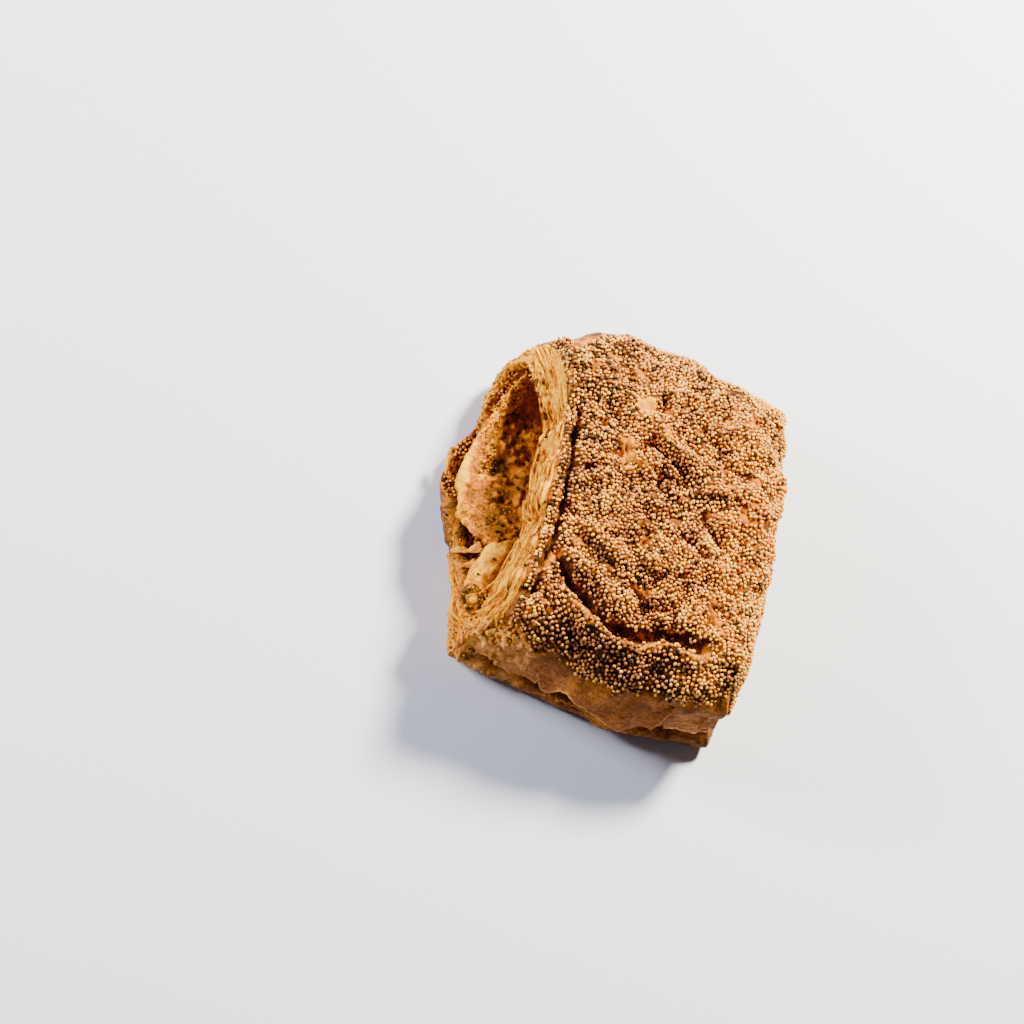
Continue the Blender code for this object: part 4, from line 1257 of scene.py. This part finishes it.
class ROLL_OT_leaves(RollOperator):
    """Thin leaves of dough that show round the open end"""

    bl_idname = "roll.leaves"
    bl_label = "Leaves of the cut end"

    cells = (640, 70, 1)
    start_degrees, end_degrees = -34.0, 226.0
    # Angles at which the mouth's outline is found, and how many of them are evened out together
    rows, softened = 400, 15

    def make(self, scene):
        height = scene.roll_form.height
        angles = np.radians(np.linspace(self.start_degrees, self.end_degrees, self.rows))
        inner, outer = self.mouth_outline(angles, height)

        def end_point(angle, share):
            low, high = np.interp(angle, angles, inner), np.interp(angle, angles, outer)
            reach = low + (high - low) * share
            v = np.clip(MOUTH_MIDDLE[0] + reach * np.cos(angle), -1.0, 1.0)
            w = np.clip(MOUTH_MIDDLE[1] + reach * np.sin(angle), -1.0, 1.0)
            return side_point(-1.0, v, w, height)

        inside, outside = end_point(angles, 0.0 * angles), end_point(angles, 1.0 + 0.0 * angles)
        steps = np.linalg.norm(np.diff((inside + outside) / 2.0, axis=0), axis=1)
        arc = np.concatenate([[0.0], np.cumsum(steps)])
        width = np.linalg.norm(outside - inside, axis=1)
        leaves = divided_box("cut_leaves", self.cells)
        box = coordinates(leaves.data)
        angle = angles[0] + (angles[-1] - angles[0]) * (box[:, 0] + 1.0) / 2.0
        share = -0.05 + 1.04 * (box[:, 1] + 1.0) / 2.0
        at = end_point(angle, share)
        along = end_point(angle + 0.01, share) - end_point(angle - 0.01, share)
        across = end_point(angle, share + 0.02) - end_point(angle, share - 0.02)
        normal = np.cross(along, across)
        normal /= np.linalg.norm(normal, axis=1)[:, None] + 1e-12
        normal *= np.where(normal[:, :1] > 0.0, -1.0, 1.0)
        arcs, widths = np.interp(angle, angles, arc), np.interp(angle, angles, width)
        ridge, bake, dust = self.grain(at, arcs, share, widths, scene.roll_form.layers)
        proud = 0.00035 + 0.00085 * ridge * smooth_step(share, -0.05, 0.03)
        proud *= 0.35 + 0.65 * smooth_step(1.0 - share, 0.0, 0.10)
        proud = np.where(box[:, 2] > 0.0, proud, -0.0016 + 0.0009 * smooth_step(share, 0.0, 0.2))
        at = at + normal * proud[:, None]
        at[:, 2] = np.maximum(at[:, 2], 0.0001)
        move_vertices(leaves, at)
        bake = np.where(box[:, 2] > 0.0, bake, 0.62 + 0.12 * noise(at, 0.0030, 115))
        write_attributes(leaves, bake=bake, dust=dust, flow_along=arcs / 2.6 + 0.3 * at[:, 1],
                         flow_across=share * widths + 0.00025 * noise(at, 0.0012, 114))
        face_outwards(leaves)
        set_material(leaves, baked_material("leaf_edges", scene.roll_colours, fine_scale=1900.0,
                                            bump_height=0.00050, shine=0.06, mottle=0.40, flowing=True))
        shade_smooth(leaves, 75.0)
        self.place(leaves, scene)

    def mouth_outline(self, angles, height):
        """Where each ray from the mouth's middle leaves the mouth, and where the leaves end."""
        reach = np.linspace(0.02, 3.0, 600)
        inner, outer = [], []
        for angle in angles:
            v, w = MOUTH_MIDDLE[0] + reach * math.cos(angle), MOUTH_MIDDLE[1] + reach * math.sin(angle)
            within = (np.abs(v) < 0.995) & (np.abs(w) < 0.992)
            last = np.flatnonzero(within)[-1]
            ray = side_point(-1.0, v[:last + 1], w[:last + 1], height)
            hollow = np.flatnonzero(in_pocket(ray, OPEN_MOUTH))
            inner.append(reach[hollow[-1]])
            outer.append(max(min(reach[last], float(leaf_reach(angle))), inner[-1] + 0.03))
        soft = np.hanning(self.softened) / np.hanning(self.softened).sum()
        return [np.convolve(np.pad(edge, self.softened // 2, mode="edge"), soft, mode="valid")
                for edge in (inner, outer)]

    def grain(self, at, arc, share, width, layers):
        """Height of the leaves' edges from 0 to 1, with their browning and dusting."""
        across = share * width
        track = flat_points(arc / 3.0, across)
        fibres = flat_points(arc / 4.0, across)
        wander = 0.60 * noise(track, 0.0050, 101) + 0.40 * noise(track, 0.0016, 104) + 0.14 * noise(at, 0.0007, 102)
        phase = layers * share + wander
        layer = np.floor(phase)
        crest = np.sin(math.pi * (phase - layer)) ** 0.7
        own = flat_points(arc / 3.0, layer * LAYER_STEP)
        level = 0.5 + 0.5 * noise(own, 0.0022, 106)
        fine = rough_noise(fibres, 0.00062, 107) + 0.35 * noise(at, 0.00060, 103)
        crumbly = smooth_step(-at[:, 1], 0.0360, 0.0430)
        ridge = 0.8 * crest * (0.35 + 0.65 * level) * (1.0 - 0.7 * crumbly)
        ridge = np.clip(ridge + (0.62 + 0.3 * crumbly) * fine, -0.4, 1.6)
        golden = smooth_step(noise(track, 0.0042, 108) + 0.5 * noise(own, 0.0030, 109) - 0.5 * (share - 0.4), -0.2, 0.7)
        bake = 0.64 - 0.46 * crest * (0.35 + 0.65 * level) * (1.0 - 0.6 * crumbly)
        bake = bake + 0.20 * golden - 0.50 * fine - 0.12 * crumbly
        bake += 0.16 * smooth_fall(share, 0.0, 0.08) + 0.25 * smooth_step(share, 0.93, 1.0)
        bake -= 0.11 + 0.24 * smooth_step(at[:, 1], 0.015, 0.028)
        granular = smooth_step(noise(at, 0.0050, 110) + 1.2 * smooth_step(at[:, 1], 0.022, 0.032), 0.35, 0.85)
        granular *= smooth_fall(share, 0.10, 0.40)
        wall = smooth_step(at[:, 1], 0.010, 0.020) * smooth_fall(at[:, 2], 0.017, 0.023)
        granular = np.maximum(granular, wall * smooth_step(share, 0.05, 0.15) * smooth_fall(share, 0.70, 0.90))
        bake += granular * (1.1 * noise(at, 0.0009, 112) + 0.20)
        return ridge + 0.5 * granular * noise(at, 0.0009, 113), bake, 0.30 * granular + 0.15 * crumbly


class ROLL_OT_flakes(RollOperator):
    """Thin flakes of dough that lift from the front fold"""

    bl_idname = "roll.flakes"
    bl_label = "Flakes of the front fold"

    # Each flake: from and to along the fold, its top and the places of its lower edge up the side, lift of its
    # edge, raggedness
    sheets = ((-0.42, 0.60, 0.56, (-0.33, 0.20, 0.30, 0.15, 0.04, -0.06, 0.32), 0.0017, 0.045),
              (-0.72, 0.96, 0.16, (-0.22, -0.16, -0.20, -0.24, -0.18, -0.22), 0.0013, 0.05),
              (-0.70, -0.36, 0.50, (0.06, -0.02, 0.10), 0.0007, 0.05),
              (0.56, 0.90, 0.48, (0.10, 0.16, 0.06), 0.0010, 0.08),
              (-0.30, 0.60, -0.10, (-0.36, -0.32, -0.36), 0.0006, 0.05))

    def make(self, scene):
        height = scene.roll_form.height
        for number, (start, end, top, low, lift, ragged) in enumerate(self.sheets):
            cells = (6 * math.ceil(25.0 * (end - start)), 36, 1)
            flake = divided_box(f"flake_{number + 1}", cells)
            box = coordinates(flake.data)
            along, down, outer = (box[:, 0] + 1.0) / 2.0, (1.0 - box[:, 1]) / 2.0, box[:, 2] > 0.0
            track = np.column_stack([along * (end - start) * 0.045, 0.0 * along, 0.0 * along + number])
            torn = 0.6 * noise(track, 0.0050, 141 + number) + 0.5 * rough_noise(track, 0.0018, 161 + number)
            edge = smooth_table(along, np.linspace(0.0, 1.0, len(low)), low) + ragged * torn
            edge = top + (edge - top) * (0.25 + 0.75 * faded(along, 0.14))
            u, w = start + (end - start) * along, top + (edge - top) * down
            at = side_point(u, -1.0, w, height)
            normal = np.cross(side_point(u + 0.01, -1.0, w, height) - side_point(u - 0.01, -1.0, w, height),
                              side_point(u, -1.0, w + 0.02, height) - side_point(u, -1.0, w - 0.02, height))
            normal /= np.linalg.norm(normal, axis=1)[:, None]
            raised = lift * down ** 2 * (0.6 + 0.3 * noise(track, 0.0060, 151 + number))
            raised += 0.00040 * smooth_step(down, 0.05, 0.5)
            raised += 0.00018 * rough_noise(at * (0.6, 0.6, 1.0), 0.0018, 155)
            raised = np.where(outer, raised - 0.00045 * smooth_fall(down, 0.0, 0.35),
                              raised - 0.00018 - 0.0010 * (1.0 - down))
            move_vertices(flake, at + normal * raised[:, None])
            face_outwards(flake)
            # Paler along the lower edge: partly pale torn dough, partly a painted highlight where the edge catches the
            # light.
            bake = 0.60 - 0.54 * smooth_step(down, 0.84, 0.97) + 0.24 * noise(at, 0.004, 156)
            bake -= 0.16 * smooth_step(-at[:, 0], -0.008, 0.012)
            # The underside is painted dark (0.9): painted shade under the flake.
            write_attributes(flake, bake=np.where(outer, bake, 0.9), dust=0.15 + 0.3 * smooth_step(down, 0.85, 1.0),
                             dull=0.85 + 0.15 * noise(at, 0.0040, 157))
            set_material(flake, baked_material(f"flake_skin_{number + 1}", scene.roll_colours))
            shade_smooth(flake)
            self.place(flake, scene)


class ROLL_OT_crumbs(RollOperator):
    """Toasted crumbs in the mouth, by the knob and at the crumbly corner"""

    bl_idname = "roll.crumbs"
    bl_label = "Crumbs"

    # Browning of the crumbs and how many of them have it
    shades, shade_shares = (0.05, 0.25, 0.45, 0.80), (0.42, 0.32, 0.20, 0.06)

    def make(self, scene):
        tree = surface_tree([bpy.data.objects[name] for name in (*BEARERS, "knob")])
        shift = np.array(scene["roll_shift"])
        draw = np.random.default_rng(DRAWS["crumbs"])
        places, normals, sizes = [], [], []
        for middle, half, count, least, most in CRUMB_PATCHES:
            plan = np.array(middle) + shift[:2] + draw.normal(0.0, 0.55, (count, 2)) * half
            points, ups = ground(tree, plan)
            places.append(points)
            normals.append(ups)
            sizes.append(least + (most - least) * draw.random(len(points)) ** 2.2)
        places, normals, sizes = np.concatenate(places), np.concatenate(normals), np.concatenate(sizes)
        unit, polygons = small_shape(10, 7)
        unit *= (1.0 + 0.22 * noise(unit * 3.0, 0.75, 19))[:, None] * (1.0, 0.84, 0.66)
        axes = turned_axes(normals, draw, 0.5)
        crumbs = joined_copies("toasted_crumbs", unit, polygons, places + normals * (0.10 * sizes)[:, None],
                               axes, sizes)
        shade = draw.choice(self.shades, len(places), p=self.shade_shares)
        shade += draw.uniform(-0.06, 0.06, len(places))
        corner = smooth_step(shift[1] - places[:, 1], 0.036, 0.041)
        write_attributes(crumbs, bake=np.repeat(shade, len(unit)), dust=0.3,
                         dull=np.repeat(DULL_CORNER * corner, len(unit)))
        set_material(crumbs, baked_material("crumb_skin", scene.roll_colours, fine_scale=2600.0,
                                            bump_height=0.00010))
        self.carry(crumbs)


class ROLL_OT_seeds(RollOperator):
    """Poppy seeds in cream, pale, golden, tan, brown and dark kinds"""

    bl_idname = "roll.seeds"
    bl_label = "Poppy seeds"

    # Each kind's share of the seeds that aren't dark, and its lightest and darkest colour
    kinds = (("cream_seeds", 0.24, (0.98, 0.560, 0.095), (0.81, 0.39, 0.062)),
             ("pale_seeds", 0.26, (0.91, 0.455, 0.072), (0.65, 0.26, 0.036)),
             ("golden_seeds", 0.20, (0.81, 0.34, 0.065), (0.53, 0.175, 0.034)),
             ("tan_seeds", 0.18, (0.63, 0.26, 0.090), (0.35, 0.115, 0.036)),
             ("brown_seeds", 0.12, (0.37, 0.130, 0.042), (0.15, 0.042, 0.013)))
    dark_colours = ((0.085, 0.042, 0.022), (0.012, 0.006, 0.003))

    def make(self, scene):
        sizes = scene.roll_seeds
        crust = bpy.data.objects["crust"]
        places, normals = self.places(crust, sizes)
        draw = np.random.default_rng(DRAWS["kinds"])
        pick = draw.random(len(places))
        x, y, z = (places - scene["roll_shift"]).T
        toasted = smooth_step(noise(places, 0.0070, 12), 0.2, 0.8) + 0.4 * smooth_step(-y, 0.0380, 0.0430)
        toasted += 0.9 * smooth_step(-x, 0.004, 0.018) * smooth_step(y, -0.005, 0.010)
        dark = pick < sizes.dark_share + 0.09 * toasted
        # Darker seed kinds in the furrows and along the front are painted shade; paler kinds towards the right end are
        # painted light.
        shade = 0.30 * noise(places, 0.0042, 13) + 90.0 * (valleys(x, y) - wrinkles(x, y)) * (z > 0.026)
        front_right = 0.30 * smooth_step(-y, 0.0390, 0.0430) * smooth_fall(x, 0.022, 0.036)
        shade += front_right - 0.35 * smooth_step(x, 0.016, 0.036)
        sorting = np.argsort(np.argsort(draw.random(len(places)) + np.clip(shade, -0.5, 0.8))) / len(places)
        kind = np.searchsorted(np.cumsum([share for _, share, _, _ in self.kinds])[:-1], sorting)
        for number, (name, _, light, deep) in enumerate(self.kinds):
            chosen = ~dark & (kind == number)
            self.grains(name, places[chosen], normals[chosen], sizes, draw, light, deep)
        tree = surface_tree([bpy.data.objects[name] for name in BEARERS])
        stray = ground(tree, np.array(STRAY_SEEDS) + np.array(scene["roll_shift"])[:2])
        self.grains("dark_seeds", np.concatenate([places[dark], stray[0]]), np.concatenate([normals[dark], stray[1]]),
                    sizes, draw, *self.dark_colours)

    def places(self, crust, sizes):
        """Points and normals spread over the seeded crust, none nearer than the seeds' spacing."""
        mesh = crust.data
        mesh.calc_loop_triangles()
        corners = read_all(mesh.loop_triangles, "vertices", 3, np.int32)
        corners = corners[read_all(mesh.loop_triangles, "material_index", kind=np.int32) == OUTER_SKIN]
        at, normal = coordinates(mesh), read_all(mesh.vertices, "normal", 3)
        seeded = read_attribute(crust, "seeded")
        edges = at[corners[:, 1]] - at[corners[:, 0]], at[corners[:, 2]] - at[corners[:, 0]]
        area = np.linalg.norm(np.cross(*edges), axis=1) / 2.0
        cover = seeded[corners].mean(axis=1)
        weight = area * (cover > 0.2) * cover
        draw = np.random.default_rng(DRAWS["places"])
        count = int(7.0 * weight.sum() / sizes.gap ** 2)
        pick = draw.choice(len(corners), count, p=weight / weight.sum())
        share = draw.random((count, 2))
        flip = share.sum(axis=1) > 1.0
        share[flip] = 1.0 - share[flip]
        shares = np.column_stack([1.0 - share.sum(axis=1), share])
        points = (at[corners[pick]] * shares[:, :, None]).sum(axis=1)
        normals = (normal[corners[pick]] * shares[:, :, None]).sum(axis=1)
        normals /= np.linalg.norm(normals, axis=1)[:, None]
        front = smooth_step(-points[:, 1], 0.0390, 0.0430)
        gaps = sizes.gap * (1.0 + 0.20 * (1.0 - cover[pick]) + 0.30 * np.clip(noise(points, 0.0080, 5), 0.0, 1.0))
        gaps *= 1.0 + 0.02 * front
        chance = 1.10 * cover[pick] + 0.45 * noise(points, 0.0019, 15)
        stays = draw.random(count) < chance
        points, normals, gaps = points[stays], normals[stays], gaps[stays]
        reach = gaps.max()
        cells, kept = {}, []
        keys = np.floor(points / reach).astype(int)
        near = list(itertools.product((-1, 0, 1), repeat=3))
        for number, (point, key, gap) in enumerate(zip(points.tolist(), keys.tolist(), gaps.tolist())):
            others = (other for a, b, c in near for other in cells.get((key[0] + a, key[1] + b, key[2] + c), ()))
            if all(math.dist(point, other) >= gap for other in others):
                cells.setdefault(tuple(key), []).append(point)
                kept.append(number)
        return points[kept], normals[kept]

    def grains(self, name, places, normals, sizes, draw, light, deep):
        """One small kidney-shaped grain, copied to each place with its own size, turn and tone."""
        unit, polygons = small_shape(8, 5)
        unit[:, 2] += 0.30 * unit[:, 0] ** 2
        unit *= (1.0, 0.80, 0.76)
        axes = turned_axes(normals, draw, 0.22)
        size = sizes.length * draw.uniform(0.82, 1.10, len(places))
        raised = places + normals * (draw.uniform(0.18, 0.42, len(places)) * size)[:, None]
        seeds = joined_copies(name, unit, polygons, raised, axes, size)
        write_attributes(seeds, tone=np.repeat(draw.beta(2.2, 1.6, len(places)), len(unit)))
        set_material(seeds, seed_material(name + "_coat", light, deep))
        self.carry(seeds)


class ROLL_OT_stage(RollOperator):
    """Floor, lights and camera"""

    bl_idname = "roll.stage"
    bl_label = "Stage"

    def make(self, scene):
        select_none()
        bpy.ops.mesh.primitive_plane_add(size=6.0, location=(0.0, 0.0, 0.0))
        floor = bpy.context.object
        floor.name = "floor"
        nodes = Nodes("floor_paint")
        nodes.put(nodes.shader.inputs["Base Color"], (*scene.roll_stage.floor_colour, 1.0))
        nodes.put(nodes.shader.inputs["Roughness"], 0.9)
        set_material(floor, nodes.material)
        axes = self.view_axes()
        self.add_camera(scene, axes)
        for name, power in (("key", scene.roll_stage.key_power), ("fill", scene.roll_stage.fill_power)):
            self.add_light(scene, axes, name, power)
        world = bpy.data.worlds.new("studio")
        world.use_nodes = True
        background = world.node_tree.nodes["Background"].inputs
        background["Color"].default_value = (1.0, 1.0, 1.0, 1.0)
        background["Strength"].default_value = scene.roll_stage.sky
        scene.world = world

    def view_axes(self):
        """Rows are the camera's right, up and back."""
        tilt, side, roll = (math.radians(VIEW[name]) for name in ("tilt", "side", "roll"))
        up_axis = np.array([math.sin(tilt) * math.cos(side), math.sin(tilt) * math.sin(side), math.cos(tilt)])
        slope = math.tan(tilt) * math.cos(roll - side)
        length = 1.0 / math.sqrt(1.0 + slope * slope)
        x_axis = np.array([length * math.cos(roll), length * math.sin(roll), -length * slope])
        y_axis = np.cross(up_axis, x_axis)
        return np.stack([x_axis, y_axis, up_axis], 1)

    def add_camera(self, scene, axes):
        """A camera that sees the roll as the photo does."""
        middle = VIEW["frame"] / 2.0
        target = np.array(VIEW["target"])
        off = (np.array(VIEW["target_pixel"]) - middle) / VIEW["pixels_per_metre"]
        seat = axes.T @ np.array([-off[0], off[1], VIEW["distance"]]) + target
        camera = bpy.data.objects.new("camera", bpy.data.cameras.new("camera"))
        scene.collection.objects.link(camera)
        camera.matrix_world = Matrix.Translation(seat) @ Matrix(axes.T).to_4x4()
        camera.data.sensor_width = SENSOR_MM
        camera.data.lens = VIEW["pixels_per_metre"] * VIEW["distance"] / VIEW["frame"] * SENSOR_MM
        camera.data.clip_start = 0.01
        scene.camera = camera

    def add_light(self, scene, axes, name, power):
        """One of the studio's round lights, facing the roll."""
        way, size, colour = LIGHTS[name]
        light = bpy.data.objects.new(name, bpy.data.lights.new(name, "AREA"))
        scene.collection.objects.link(light)
        way = Vector(axes.T @ np.array(way)).normalized()
        light.location = way * LIGHT_DISTANCE
        light.rotation_euler = way.to_track_quat("Z", "Y").to_euler()
        light.data.shape = "DISK"
        light.data.size = size
        light.data.energy = power
        light.data.color = colour


class ROLL_PT_panel(bpy.types.Panel):
    """Sizes and steps of the roll"""

    bl_label = "Poppy seed roll"
    bl_idname = "ROLL_PT_panel"
    bl_space_type = "VIEW_3D"
    bl_region_type = "UI"
    bl_category = "Roll"

    def draw(self, context):
        for group in (context.scene.roll_form, context.scene.roll_seeds, context.scene.roll_colours,
                      context.scene.roll_stage):
            for name in group.__annotations__:
                self.layout.prop(group, name)
        for operator in OPERATORS:
            self.layout.operator(operator.bl_idname)


OPERATORS = (ROLL_OT_crust, ROLL_OT_inner_flap, ROLL_OT_turned_fold, ROLL_OT_leaves, ROLL_OT_flakes,
             ROLL_OT_crumbs, ROLL_OT_seeds, ROLL_OT_stage)
GROUPS = {"roll_form": RollForm, "roll_seeds": SeedSizes, "roll_colours": RollColours, "roll_stage": Stage}


def register():
    for item in (*GROUPS.values(), *OPERATORS, ROLL_PT_panel):
        bpy.utils.register_class(item)
    for name, group in GROUPS.items():
        setattr(bpy.types.Scene, name, PointerProperty(type=group))


def unregister():
    for name in GROUPS:
        delattr(bpy.types.Scene, name)
    for item in reversed((*GROUPS.values(), *OPERATORS, ROLL_PT_panel)):
        bpy.utils.unregister_class(item)


def main():
    register()
    bpy.ops.roll.crust()
    bpy.ops.roll.inner_flap()
    bpy.ops.roll.turned_fold()
    bpy.ops.roll.leaves()
    bpy.ops.roll.flakes()
    bpy.ops.roll.crumbs()
    bpy.ops.roll.seeds()
    bpy.ops.roll.stage()


if __name__ == "__main__":
    main()
